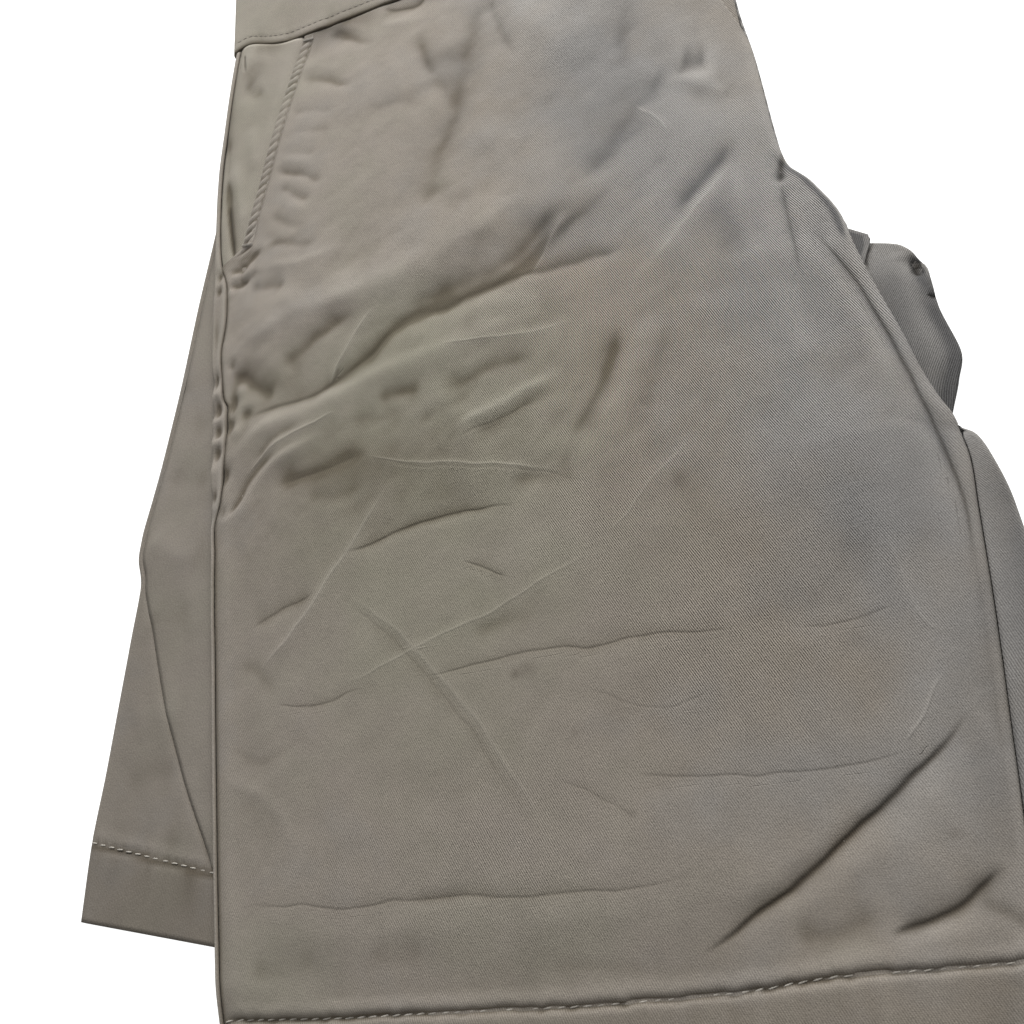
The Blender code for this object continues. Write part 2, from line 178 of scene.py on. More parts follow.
def creaseMarks(x, up, lines, labels=("crease", "biteAndShade")):
    # the distance to the nearest fine line, in its own widths, and how deep it bites there, which also sets
    # how dark it is painted for its shade
    nearest, biteAndShade = np.full(np.shape(x), 6.0), np.zeros(np.shape(x))
    for points, width, depth in lines:
        ends = np.asarray(points, float)
        low, high = ends.min(0) - 6 * width - 4, ends.max(0) + 6 * width + 4
        inside = (x > low[0]) & (x < high[0]) & (up > low[1]) & (up < high[1])
        if not inside.any():
            continue
        d, along = nearPath(x[inside], up[inside], points)
        force = depth * within(along, 0, 0.15, 0.8, 1) * (1 - smoothStep(np.abs(d), 1.9, 3.2))
        d = np.clip(d / width, -6, 6)
        better = np.abs(d) < np.abs(nearest[inside])
        nearest[inside] = np.where(better, d, nearest[inside])
        biteAndShade[inside] = np.where(better, force, biteAndShade[inside])
    return dict(zip(labels, (nearest, biteAndShade)))


def newObject(name, data):
    made = bpy.data.objects.new(name, data)
    bpy.context.scene.collection.objects.link(made)
    return made


def putMesh(name, points, faces, material):
    mesh = bpy.data.meshes.new(name)
    mesh.from_pydata(points, [], faces)
    mesh.materials.append(material)
    mesh.shade_smooth()
    return newObject(name, mesh)


plainMarks = {
    # what a point of cloth carries where nothing else is said
    "wearAndShade": 0.5,  # below 0.5 painted shade with a little dirt, above it rubbed pale and painted light
    "clear": 0.5,  # how clearly the ribs show through the fuzz
    "cast": 0.5,  # from olive to cool grey
    "stain": 0.0,
    "crease": 6.0,  # distance to a fine crease in its own widths, and its depth, which also sets its painted shade
    "biteAndShade": 0.0,
    "ridge": 6.0,  # the same for a rubbed edge
    "rub": 0.0,
}


def clothShell(name, middle, grain, material, thick=None, marks=None, inside=3, soften=False):
    # a closed thin shell round a grid of middle points in mm, with its grain as UVs in metres;
    # the inner side takes every third row and column
    middle = np.asarray(middle, float)
    thick = cloth["thick"] if thick is None else thick
    rows, columns = middle.shape[:2]
    smooth = np.stack([blurred(middle[:, :, axis], 1) for axis in range(3)], 2) if soften else middle
    normal = np.cross(np.gradient(smooth, axis=1), np.gradient(smooth, axis=0))
    normal /= np.maximum(np.linalg.norm(normal, axis=2, keepdims=True), 1e-9)
    outer, inner = middle + normal * thick / 2, middle - normal * thick / 2
    innerRows = sorted(set(range(0, rows, inside)) | {rows - 1})
    innerColumns = sorted(set(range(0, columns, inside)) | {columns - 1})
    inner = inner[np.ix_(innerRows, innerColumns)]
    points = np.concatenate([outer.reshape(-1, 3), inner.reshape(-1, 3)])
    points[:, 2] = np.maximum(points[:, 2], 0.02)
    points[:, 1] += hemY

    def quads(number):
        corners = [number[:-1, :-1], number[:-1, 1:], number[1:, 1:], number[1:, :-1]]
        return np.stack(corners, 2).reshape(-1, 4)

    outNumber = np.arange(rows * columns).reshape(rows, columns)
    inNumber = rows * columns + np.arange(inner.shape[0] * inner.shape[1]).reshape(inner.shape[:2])
    faces = quads(outNumber).tolist() + quads(inNumber)[:, ::-1].tolist()
    lastRow, lastColumn = rows - 1, columns - 1
    stops = [(0, j) for j in innerColumns] + [(i, lastColumn) for i in innerRows[1:]]
    stops += [(lastRow, j) for j in innerColumns[-2::-1]] + [(i, 0) for i in innerRows[-2::-1]]
    place = {(i, j): inNumber[r, c] for r, i in enumerate(innerRows) for c, j in enumerate(innerColumns)}
    for (i, j), (k, m) in zip(stops[:-1], stops[1:]):
        count = max(abs(k - i), abs(m - j))
        run = [outNumber[i + (k - i) * n // count, j + (m - j) * n // count] for n in range(count + 1)]
        faces.append([int(n) for n in run[::-1]] + [int(place[i, j]), int(place[k, m])])
    made = putMesh(name, (points * mm).tolist(), faces, material)
    mesh = made.data
    grain = np.asarray(grain, float) * mm
    uv = np.concatenate([grain.reshape(-1, 2), grain[np.ix_(innerRows, innerColumns)].reshape(-1, 2)])
    corner = np.empty(len(mesh.loops), np.int32)
    mesh.loops.foreach_get("vertex_index", corner)
    mesh.uv_layers.new(name="grain").data.foreach_set("uv", uv[corner].astype(np.float32).ravel())
    marks = marks or {}
    for label, plain in plainMarks.items():
        values = marks.get(label)
        values = np.full((rows, columns), plain) if values is None else values
        values = np.concatenate([values.ravel(), values[np.ix_(innerRows, innerColumns)].ravel()])
        mesh.attributes.new(label, "FLOAT", "POINT").data.foreach_set("value", values.astype(np.float32))
    return made


def hexColor(text):
    parts = [int(text[i : i + 2], 16) / 255 for i in (0, 2, 4)]
    return tuple(p / 12.92 if p <= 0.04045 else ((p + 0.055) / 1.055) ** 2.4 for p in parts) + (1,)


def setNode(tree, node, settings):
    # settings are properties, input values, or sockets that link to an input
    for key, value in settings.items():
        if isinstance(value, bpy.types.NodeSocket):
            tree.links.new(value, node.inputs[key])
        elif isinstance(key, str) and hasattr(node, key):
            setattr(node, key, value)
        else:
            node.inputs[key].default_value = value


def addNode(tree, kind, settings=None, out=0):
    # gives the new node's output, or all of them
    node = tree.nodes.new(kind)
    setNode(tree, node, settings or {})
    return node.outputs if out is None else node.outputs[out]


def newMaterial(name):
    material = bpy.data.materials.new(name)
    material.use_nodes = True
    return material, material.node_tree, material.node_tree.nodes["Principled BSDF"]


def twoTone(tree, factor, *stops):
    # a ramp between two colours, each with its place
    ramp = tree.nodes.new("ShaderNodeValToRGB")
    tree.links.new(factor, ramp.inputs["Fac"])
    for element, (place, color) in zip(ramp.color_ramp.elements, stops):
        element.position, element.color = place, color
    return ramp.outputs[0]


twillLook = {
    "rib": "b3aa9e",  # the warp floats, rubbed pale by washing
    "groove": "262220",  # the dye that stays between them
    "olive": (0.95, 1.0, 0.93, 1),  # casts that the wash left, as shares of the cloth's colour
    "cool": (0.935, 1.005, 1.115, 1),
    "stain": "4d453d",
    "ribPitch": 0.67,  # mm between the ribs
    "ribAngle": 26.5,  # degrees from the warp
    "pickPitch": 0.42,  # mm between the weft threads that notch each rib
    "bumpMm": 0.10,
    "sheen": "cfc9be",
    "surface": {"Roughness": 0.95, "Sheen Weight": 0.12, "Sheen Roughness": 0.5, "Specular IOR Level": 0.2},
}


def washedTwill(name, shade=1.0, ribAngle=None):
    # cotton 3/1 twill, garment-dyed and washed: pale fuzzy ribs over darker grooves, a dry matt
    # surface with a little fuzz at glancing angles, and a patchy cast from the wash
    look = twillLook
    material, tree, shader = newMaterial(name)
    uv = addNode(tree, "ShaderNodeUVMap", {"uv_map": "grain"})
    place = addNode(tree, "ShaderNodeTexCoord", out="Object")

    def noise(size, detail, where, roughness=0.55, w=0.0):
        # a noise whose lumps are about size mm wide
        settings = {"noise_dimensions": "4D", "W": w, "Scale": 1 / (size * mm), "Detail": detail}
        settings |= {"Roughness": roughness, "Vector": where}
        return addNode(tree, "ShaderNodeTexNoise", settings, "Fac")

    def waves(direction, pitch, where, distortion, detailScale=1.0):
        # bands that repeat every pitch mm
        settings = {"bands_direction": direction, "Scale": math.tau / (20 * pitch * mm), "Detail": 2.0}
        settings |= {"Distortion": distortion, "Detail Scale": detailScale, "Vector": where}
        return addNode(tree, "ShaderNodeTexWave", settings, "Fac")

    def math2(operation, one, two):
        return addNode(tree, "ShaderNodeMath", {"operation": operation, 0: one, 1: two})

    def ranged(socket, low, high, toLow, toHigh):
        settings = {"From Min": low, "From Max": high, "To Min": toLow, "To Max": toHigh}
        return addNode(tree, "ShaderNodeMapRange", settings | {"Value": socket})

    def mixed(kind, factor, one, two):
        settings = {"data_type": "RGBA", "blend_type": kind, 0: factor, 6: one, 7: two}
        return addNode(tree, "ShaderNodeMix", settings, 2)

    def mark(label):
        return addNode(tree, "ShaderNodeAttribute", {"attribute_name": label}, "Fac")

    angle = math.radians(look["ribAngle"] if ribAngle is None else ribAngle)
    turned = {"vector_type": "TEXTURE", "Rotation": (0, 0, angle), "Vector": uv}
    ribs = waves("X", look["ribPitch"], addNode(tree, "ShaderNodeMapping", turned), 1.4, 0.5)
    picks = waves("Y", look["pickPitch"], uv, 3.0)
    yarn = noise(0.55, 2.0, uv, 0.7)
    slub = noise(4.0, 2.0, uv)
    fade = noise(11, 4.0, place, 0.6)
    broadCast = noise(30, 3.0, place, 0.55, 3.0)

    # the ribs stand out less where the fuzz has felted over them
    clear = ranged(slub, 0.3, 0.7, 0.55, 1.05)
    weave = math2("MULTIPLY", math2("SUBTRACT", ribs, 0.5), clear)
    weave = math2("ADD", math2("MULTIPLY", weave, mark("clear")), ranged(picks, 0, 1, -0.04, 0.04))
    loose = math2("ADD", math2("MULTIPLY", mark("clear"), 0.3), 0.36)
    weave = math2("ADD", weave, math2("MULTIPLY", ranged(yarn, 0.25, 0.75, -0.34, 0.34), loose))
    base = mixed("MIX", math2("ADD", weave, 0.5), hexColor(look["groove"]), hexColor(look["rib"]))

    cast = math2("ADD", mark("cast"), ranged(broadCast, 0.3, 0.7, -0.16, 0.16))
    base = mixed("MULTIPLY", ranged(cast, 0.5, 0.0, 0, 1), base, look["olive"])
    base = mixed("MULTIPLY", ranged(cast, 0.5, 1.0, 0, 1), base, look["cool"])
    faded = mixed("MIX", ranged(fade, 0.3, 0.7, 0, 1), (0.93, 0.93, 0.93, 1), (1.05, 1.05, 1.05, 1))
    base = mixed("MULTIPLY", 1.0, base, faded)

    # rubbed ridges and painted light are paler; below 0.5 the cloth is painted darker for its shade, with a
    # little dirt in creases
    wearAndShade = mark("wearAndShade")
    base = mixed("SCREEN", ranged(wearAndShade, 0.5, 1.0, 0, 0.5), base, (0.22, 0.21, 0.19, 1))
    # the colour that painted shade darkens towards, warmer on olive cloth and cooler on grey
    deep = mixed("MIX", ranged(cast, 0.5, 1.0, 0, 1), (0.46, 0.43, 0.38, 1), (0.42, 0.43, 0.45, 1))
    base = mixed("MULTIPLY", ranged(wearAndShade, 0.5, 0.0, 0, 1), base, deep)

    def bell(across, force):
        # a thin line on the surface, its force at the middle
        square = math2("MULTIPLY", mark(across), mark(across))
        return math2("MULTIPLY", math2("EXPONENT", math2("MULTIPLY", square, -1.0), 0.0), mark(force))

    # fine creases are painted dark for the shade in them; rubbed edges are paler
    biteAndShade, rub = bell("crease", "biteAndShade"), bell("ridge", "rub")
    base = mixed("MULTIPLY", ranged(biteAndShade, 0, 1, 0, 0.75), base, (0.22, 0.19, 0.15, 1))
    base = mixed("SCREEN", ranged(rub, 0, 1, 0, 0.4), base, (0.20, 0.19, 0.17, 1))
    base = mixed("MIX", mark("stain"), base, hexColor(look["stain"]))
    # each piece's copy of the cloth is painted lighter or darker as a whole by its shade level, for the
    # light that piece gets
    base = mixed("MULTIPLY", 1.0, base, (shade, shade, shade, 1))

    reliefs = (
        # depth in mm and height: the fine creases, the rumpled surface, the weave
        (0.5, math2("SUBTRACT", rub, biteAndShade)),
        (0.14, noise(2.6, 3.0, uv, 0.6, 5.0)),
        (look["bumpMm"], math2("ADD", weave, math2("MULTIPLY", yarn, 0.5))),
    )
    normal = {}
    for depth, height in reliefs:
        bumped = addNode(tree, "ShaderNodeBump", {"Distance": depth * mm, "Height": height} | normal)
        normal = {"Normal": bumped}
    surface = look["surface"] | {"Sheen Tint": hexColor(look["sheen"]), "Base Color": base}
    setNode(tree, shader, surface | normal)
    return material


waist = {"up": 444.0, "band": 42.0, "sideRise": 8.0, "sideX": -103.0, "riseWidth": 13.0}

levels = (
    # up, left front, left back, right back, right front
    (0, 0.6, 3.0, 4.5, 6.9),
    (390, 0.6, 3.0, 4.5, 6.9),
    (444, 0.6, 3.6, 6.1, 8.6),
    (500, 0.6, 3.6, 6.1, 8.6),
)

rightLeg = (
    # up, outer fold, side seam, front's right edge, back's right edge, how far the edge turns
    (0, -104, -102.8, 139, 160, 0),
    (26, -105, -103.8, 141, 161, 0),
    (75, -108, -106.8, 147, 165, 0),
    (120, -110.5, -109.3, 152.5, 166.5, 0),
    (150, -112, -110.8, 155.5, 165.5, 0),
    (166, -113, -111.8, 157, 162.5, 0),
    (172, -113.2, -112, 156.6, 160.5, 0),
    (178, -113.5, -112.3, 156, 156, 0.1),
    (188, -114, -112.5, 152.8, 149, 0.3),
    (200, -114.5, -113.2, 150, 144, 0.3),
    (212, -115, -110.5, 148, 141, 0.3),
    (228, -115.5, -109.2, 144.6, 139, 0.3),
    (243, -116, -108.6, 141.8, 142.5, 0.3),
    (253, -116, -108.8, 140.2, 146.5, 0.3),
    (258, -116.3, -110.8, 139.7, 141, 0.5),
    (264, -116.5, -111.5, 139, 134, 0.8),
    (280, -117.5, -112.6, 133, 127, 1),
    (296, -118, -110.2, 125, 119.5, 1),
    (312, -118, -110.6, 123.6, 118, 1),
    (328, -118, -114.5, 123.4, 118, 1),
    (348, -118.3, -116, 123.2, 118, 1),
    (363, -118.4, -116.2, 120.3, 116, 0),
    (380, -118, -115.8, 115.5, 116, 0),
    (410, -115, -112.8, 111, 116, 0),
    (444, -109.5, -107, 108, 116, 0),
)
foldTurn = 3.15  # how wide the upper layers' edges roll down

pocket = {"bottomUp": 328.0, "bottomX": -103.5, "topX": -71.0, "stitchIn": 4.8, "puckerPitch": 4.4}

leftLeg = (
    # outer end x, up, side seam in from it, right end x, up
    (-166, 61, 66, 98, 3),
    (-164, 87, 53, 103, 29),
    (-160, 112, 36, 111, 55),
    (-156.5, 137, 22, 123, 92),
    (-153, 162, 11, 138, 135),
    (-150, 185, 2.2, 156, 182),
    (-152, 197, 2.2, 161, 194),
    (-151, 206, 2.2, 164, 204),
    (-147, 222, 2.2, 161.4, 223),
    (-144, 234, 2.2, 161.6, 235),
    (-142, 243, 2.2, 158.6, 243),
    (-140.5, 250, 2.2, 152.5, 250),
    (-136, 272, 2.2, 137, 268),
    (-129, 312, 2.2, 124.5, 302),
    (-121, 353, 2.2, 123.5, 345),
    (-115.5, 385, 2.2, 121.5, 380),
    (-107.5, 444, 2.2, 121.5, 444),
)


def level(number, up):
    return column(levels, number, up)


def legEdge(number, up):
    return column(rightLeg, number, up)


def mouthX(up):
    share = (up - pocket["bottomUp"]) / (waist["up"] - pocket["bottomUp"])
    return pocket["bottomX"] + (pocket["topX"] - pocket["bottomX"]) * share


def leftLegRightX(up):
    return column(leftLeg, 3, up, by=4)


core = {"rise": 3.0, "inset": 26.0}
floorLevel = 0.6


def crown(x, up):
    # the hidden layers swell in the middle
    left = legEdge(1, up) + core["inset"]
    right = np.minimum(legEdge(4, up), leftLegRightX(up)) - core["inset"]
    inwards = smoothStep(np.minimum(x - left, right - x), -24, 32)
    return core["rise"] * within(up, 15, 80, 385, 440) * inwards


def sink(x, up):
    # 1 where the upper leg has run off the lower one
    pastSide = smoothStep(x - leftLegRightX(up), 3, 31) * (1 - smoothStep(up, 150, 176))
    hemLine = np.interp(x, (leftLeg[0][0], leftLeg[0][3]), (leftLeg[0][1], leftLeg[0][4]))
    pastHem = smoothStep(hemLine - up, 8, 34)
    return 1 - (1 - pastSide) * (1 - pastHem)


def rightBackZ(x, up):
    z = level(3, up) + crown(x, up)
    return z - (z - floorLevel) * sink(x, up)


frontFolds = (
    # line of (x, up) points, width on its left, width on its right, softness, rise; all in mm.
    # most lines run left to right, so their left is uphill, towards the waist.
    # a row that ends in a crease, a rub or a tone shows it in the cloth's finish too, sized as in the
    # tables that follow; a crease and a tone are painted shade there.
    # the big ridge from the side seam up to the fly's foot, and the steep step below it
    (((-118, 268), (-104, 280), (-88, 287), (-66, 290), (-44, 292), (-22, 296), (0, 302), (22, 309),
     (44, 312), (66, 318)), 15, 7.5, 3.5, 2.7),
    (((-30, 277), (-14, 280.5), (0, 282), (14, 285), (26, 292), (38, 301),
     (48, 307)), 5.5, 4.5, 2.5, -2.2),
    # the trough under it, forked at its right end
    (((-112, 240), (-98, 244.5), (-82, 247.5), (-66, 250), (-57, 253), (-45, 259), (-33, 268),
     (-22, 272), (-8, 273), (6, 275), (18, 277), (30, 284), (42, 293.5), (54, 301.5),
     (66, 306)), 6, 3.4, 1.8, -2.3),
    (((14, 276), (28, 276.5), (42, 276), (56, 275.5), (66, 278)), 3.2, 2.6, 1.2, -1.2),
    (((-106, 270), (-98, 262), (-91, 256), (-84, 250)), 4.5, 4.5, 2, -1.8),
    (((-86, 263), (-74, 270), (-64, 275), (-54, 280), (-44, 284)), 5, 3.4, 2, -1.7),
    (((-61, 251), (-56, 260), (-50, 268), (-44, 276), (-39, 282)), 2, 2.4, 1, 0.8, ("rub", 0.6, 0.35)),
    (((26, 276), (32, 283), (38, 292), (44, 302)), 1.8, 2.2, 1, 0.8),
    # the second ridge, and the small hollows under it
    (((-113, 220), (-106, 228), (-95, 236), (-81, 241), (-60, 244.5), (-45, 249.5), (-27, 254),
     (-10, 255.5), (10, 256), (34, 255)), 3.6, 5.5, 2.4, 1.5),
    (((-12, 264), (4, 267), (18, 266), (32, 262)), 4, 4, 2, 0.6),
    (((-12, 256.5), (6, 252.5), (24, 250), (42, 250.5)), 1.4, 2.8, 0.8, 0.5, ("rub", 0.6, 0.25)),
    (((-14, 235), (0, 239), (12, 241.5), (26, 240)), 4, 4, 2, -1.1),
    (((-40, 240), (-30, 241), (-18, 240)), 3, 3, 1.5, -0.8),
    (((-52, 233), (-40, 231), (-26, 232)), 3, 3, 1.5, -0.4),
    (((-10, 217), (8, 224), (23, 229.5), (36, 233)), 2, 2.8, 1, 1.2),
    (((-4, 213), (10, 219), (22, 224), (32, 227)), 2.2, 3.4, 1.2, -0.8),
    (((-24, 226), (-10, 229), (4, 233)), 3, 3, 1.6, -0.4),
    (((28, 199), (36, 211), (44, 223), (51, 236)), 2.2, 2.4, 1, 0.5),
    (((33, 201), (41, 214), (50, 229), (59, 246)), 3.2, 3.4, 1.8, -1.3),
    (((42, 202), (54, 219), (62, 233), (70, 249)), 3, 3.6, 1.6, 0.9),
    (((58, 205), (66, 222), (73, 240)), 2.6, 3, 1.6, -0.4),
    # small rope folds off the side seam
    (((-111, 195), (-98, 209.5), (-86, 221.5), (-74, 227.5), (-60, 231)), 1.8, 3.4, 1, 1.3),
    (((-107, 200), (-102, 207.5), (-97, 215.5), (-91, 222), (-82, 227)), 2.4, 1.6, 1, -1.5),
    (((-98, 219), (-87, 228.5), (-72, 235), (-56, 237.5)), 1.4, 1.9, 0.8, 0.7, ("rub", 0.6, 0.35)),
    (((-95, 224), (-84, 233), (-72, 238)), 1.6, 1.6, 0.8, -0.6),
    (((-118, 212), (-110, 220), (-104, 229)), 1.8, 1.8, 1, -0.7),
    (((-86, 213), (-72, 215), (-58, 216), (-42, 219)), 3.4, 3.6, 2, -1.3, ("tone", 4, 4, 2, -0.14)),
    (((-72, 206), (-60, 204), (-44, 204)), 3, 4, 2, -0.5),
    (((-47, 218), (-36, 213), (-27, 209.5), (-4, 203.5), (14, 198), (27, 192.5),
     (42, 186)), 1.3, 2.6, 0.8, 0.4),
    (((-57, 178), (-46, 181.5), (-36, 184), (-21, 185.5), (2, 184.5),
     (14, 183.5)), 6, 1.6, 1, -1, ("crease", 0.6, 0.5)),
    (((10, 194), (22, 192), (38, 191)), 4, 3.2, 2, -1),
    (((-40, 197), (-20, 196), (0, 194)), 6, 6, 3, -0.5),
    # fine wrinkles of the thigh
    (((-92, 139), (-80, 150), (-66, 166), (-58, 175), (-51, 183), (-44, 193),
     (-35, 204)), 1.3, 2.2, 0.9, 0.5, ("rub", 0.6, 0.32)),
    (((-95, 155), (-82, 161.5), (-67, 168)), 3.2, 1.6, 1, -0.6, ("crease", 0.6, 0.3)),
    (((-60, 166), (-44, 150), (-27, 132), (-6, 102), (12, 72)), 1.6, 2.6, 1, -0.16, ("crease", 0.6, 0.1)),
    (((-56, 165), (-40, 150), (-23, 132), (-2, 102), (16, 72)), 2.6, 1.6, 1, 0.16, ("rub", 0.7, 0.16)),
    (((-56, 130), (-36, 138), (-21, 142), (8, 151), (40, 162)), 1.4, 3, 1, 0.24, ("rub", 0.5, 0.22)),
    (((43, 167), (50, 173), (59, 182), (71, 190), (78, 198)), 1.4, 2.2, 1, 0.3, ("rub", 0.5, 0.26)),
    (((-8, 168), (-2, 164), (8, 159)), 1.2, 1, 0.5, -0.3, ("crease", 0.4, 0.3)),
    (((-30, 129.5), (-8, 130), (17, 131), (52, 129.5),
     (84, 129)), 2.4, 1.4, 1, -0.28, ("crease", 0.5, 0.3)),
    (((98, 124), (108, 121.5), (128, 122.5)), 2, 1.4, 1, -0.2, ("crease", 0.5, 0.2)),
    (((-84, 127), (-74, 125.5), (-60, 126), (-48, 129)), 2, 1.4, 0.8, -0.28, ("crease", 0.5, 0.25)),
    (((40, 89.5), (60, 86), (82, 82.5), (109, 80), (124, 83)), 2, 1.6, 0.8, -0.2, ("crease", 0.5, 0.22)),
    (((20, 90), (30, 84), (42, 74)), 1.2, 1.8, 0.6, -0.2, ("crease", 0.4, 0.12)),
    (((-106, 104), (-94, 99), (-84, 92), (-72, 78)), 2.4, 2.4, 1, 0.35),
    (((-102, 143), (-92, 140), (-84, 128)), 2.4, 2.4, 1, -0.35),
    (((-104, 115), (-88, 108), (-66, 116)), 2.4, 2.4, 1, -0.3),
    (((-100, 59.5), (-66, 59.5), (-36, 58.5), (-10, 58), (16, 56.8), (62, 57)), 2.6, 1.6, 0.8, -0.3),
    (((-36, 58.8), (-20, 58.4), (-2, 57.8)), 2.6, 1.6, 0.8, -0.45),
    (((-100, 50), (-60, 50), (-10, 49), (40, 50), (76, 54)), 3, 6, 2, 0.25),
    (((-94, 42), (-80, 40), (-64, 44)), 5, 4, 2, -0.5),
    (((-50, 43), (-40, 42), (-28, 44)), 4, 3, 2, -0.4),
    (((6, 36), (24, 33.5), (44, 31)), 1.8, 1.8, 1, -0.25),
    (((-10, 141), (6, 144), (18, 141)), 4, 4, 2, -0.4),
    (((74, 132), (92, 130), (112, 138), (130, 152)), 12, 10, 5, -0.5),
    (((70, 168), (92, 172), (116, 180), (134, 196)), 14, 14, 6, 0.6),
    (((128, 146), (130, 134), (132, 122), (137, 112)), 2.4, 3, 1.2, 0.3, ("rub", 0.5, 0.2)),
    (((120, 84), (127, 93), (134, 103)), 1.8, 2.2, 1, 0.3, ("rub", 0.5, 0.3)),
    # the sharp crease above the right end of the hem, and the hollows beside it
    (((52, 33), (58, 36.5), (67, 42), (80, 50), (100, 61.5), (112, 69), (126, 79), (134, 86),
     (140, 93)), 2.8, 2.1, 1.1, -1.3, ("crease", 0.9, 1)),
    (((60, 44), (76, 54), (94, 63), (110, 72), (124, 84)), 5, 3, 2, 0.45),
    (((72, 40), (88, 47), (106, 56), (124, 68), (138, 82)), 3, 7, 2, 0.4),
    (((104, 34.5), (114, 37), (122, 40.5), (130, 45), (139, 51)), 2.8, 1.7, 1.2, -1.5),
    (((78, 38), (92, 38), (106, 41)), 4, 3.2, 2, -1),
    (((86, 31.5), (106, 32), (132, 35)), 3, 3, 1.5, 0.6),
    (((128, 43), (134, 39), (142, 33)), 1.8, 1.8, 1, -0.6),
    (((138, 96), (144, 84), (146, 66), (145, 48)), 2.4, 2.4, 1, 0.4),
    # tension folds at the crotch and the fly's foot
    (((60, 257), (72, 267), (84, 277), (96, 288), (109, 299)), 2.6, 4, 1.5, 0.8),
    (((80, 284), (92, 292.5), (102, 300), (112, 309)), 4, 4, 2, -1.2),
    (((66, 288), (80, 295), (94, 305)), 2.4, 2.4, 1.2, 0.5),
    (((62, 300), (76, 306), (88, 314)), 3, 3, 1.6, -0.5),
    (((75, 342), (80, 333), (88, 319)), 1.6, 1.6, 0.7, 0.6, ("rub", 0.5, 0.25)),
    (((108, 300), (107.5, 280), (107, 260), (106.5, 240)), 5, 2, 1.2, 0.45),
    (((104, 284), (96, 262), (86, 240)), 12, 12, 5, -0.5),
    (((122.4, 285), (121.8, 268), (121.4, 256), (121, 243)), 1.6, 1.8, 0.8, -0.7),
    (((126, 298), (123.4, 290), (122, 282)), 2.2, 2.2, 1, -1.6, ("crease", 1.1, 0.9)),
    (((112, 250), (114, 228), (118, 206)), 4, 5, 2, 0.4),
    (((127, 263), (132.4, 251), (138, 236), (143, 215), (148.6, 183), (151.6, 153),
     (149, 128)), 2.4, 1.6, 0.7, -1.3, ("crease", 0.55, 0.6)),
    (((122, 262), (127, 250), (132.5, 236), (137.5, 215), (143, 183)), 2.4, 3, 1.4, 0.8),
    # hip: the forked valley, the one off the fly, and the pocket's wrinkles
    (((20, 436), (10, 406), (2.6, 386), (0, 366), (-7.7, 350), (-12.8, 332), (-15, 310)), 7, 7, 3, -2.3),
    (((-17, 420), (-9, 398), (-3, 376)), 5, 5, 2, -1.4),
    (((20, 430), (24, 404), (31, 382)), 3.6, 3.6, 1.5, -1.2),
    (((-3, 424), (1, 410), (2, 399)), 3, 3, 2, 0.5),
    (((32, 436), (40, 404), (50, 384), (62, 366)), 12, 8, 5, 1.9),
    (((106, 353), (92, 348), (80, 342), (71, 334), (63, 325), (52, 316), (38, 306)), 8, 7, 3, -2.5),
    (((95, 354), (101, 352), (108, 352)), 5, 4, 2, -1.6, ("tone", 4, 4, 2, -0.24)),
    (((84, 348), (97, 344), (112, 340)), 4, 4, 2, 1),
    (((82, 400), (74, 374), (75, 352)), 7, 7, 4, -1.6),
    (((112, 330), (104, 338), (98, 336)), 3, 3, 1.5, 0.6),
    (((-30, 443), (-22, 438.5), (-13, 437.5), (-6, 442)), 3.4, 2.6, 1.5, -1.8, ("crease", 1, 0.4)),
    (((-32, 434), (-20, 429), (-8, 427)), 2.4, 2.8, 1.2, 0.6),
    (((-60, 440), (-50, 434), (-40, 426.5), (-34, 423)), 2.8, 2.4, 1.3, -1.1),
    (((-58, 446), (-46, 438), (-36, 433)), 2.4, 2.4, 1.2, 0.45),
    (((-73, 417), (-62, 413), (-52, 407), (-45, 402)), 2.4, 2.2, 1.1, -1.1),
    (((-72, 423), (-60, 419), (-50, 413)), 2.4, 2.4, 1.2, 0.4),
    (((-80, 402), (-68, 398), (-54, 392)), 2.2, 2.2, 1, -0.35),
    (((-80, 390), (-66, 384), (-56, 381)), 2.4, 2.2, 1, -0.4),
    (((-84, 378), (-74, 374), (-64, 371)), 2, 2.2, 1, -0.35),
    (((-86, 369), (-78, 364.5), (-70, 360), (-62, 352)), 2.4, 2, 1, -1),
    (((-85, 374), (-75, 370), (-66, 364)), 1.8, 1.8, 0.9, 0.4),
    (((-86, 359), (-79, 354), (-72, 348), (-66, 346)), 2.4, 2, 1.1, -0.95),
    (((-89, 345), (-82, 339), (-74, 334), (-66, 332)), 2.2, 2, 1.1, -0.8),
    (((-84, 351), (-76, 345), (-68, 341)), 1.8, 1.8, 0.9, 0.35),
    (((-92, 334), (-82, 329), (-73, 325), (-62, 323)), 2.2, 2.2, 1.1, -0.85),
    (((-96, 318), (-80, 315.5), (-62, 315), (-44, 316.5)), 2.6, 2.8, 1.2, 0.7),
    (((-100, 309), (-90, 306.5), (-78, 304.5)), 3, 2.6, 1.3, -1),
    (((-106, 299), (-90, 297), (-70, 297)), 3.4, 3.4, 1.5, 0.3),
    (((-110, 323), (-103, 321), (-97, 324), (-91, 329)), 1.5, 1.3, 0.7, -1.3),
    (((-108, 318.5), (-102, 317.5), (-96, 319)), 1.2, 1.2, 0.6, 0.8),
    (((-109, 314.5), (-103, 312), (-98, 313.5), (-93, 318)), 1.3, 1.4, 0.7, -1.2),
    (((-104, 327), (-101.5, 321), (-102, 315), (-99.5, 309)), 1.3, 1.1, 0.6, -0.9),
    (((-98, 324), (-96.5, 318), (-98, 311)), 1.1, 1.2, 0.6, 0.6),
    (((-40, 392), (-34, 385), (-22, 383), (-12, 374)), 3, 3, 1.5, -0.5),
    (((-44, 414), (-38, 400), (-34, 388)), 4, 4, 2, 0.4),
    (((-46, 332), (-28, 328), (-8, 329), (12, 336)), 4, 4, 2, -0.35),
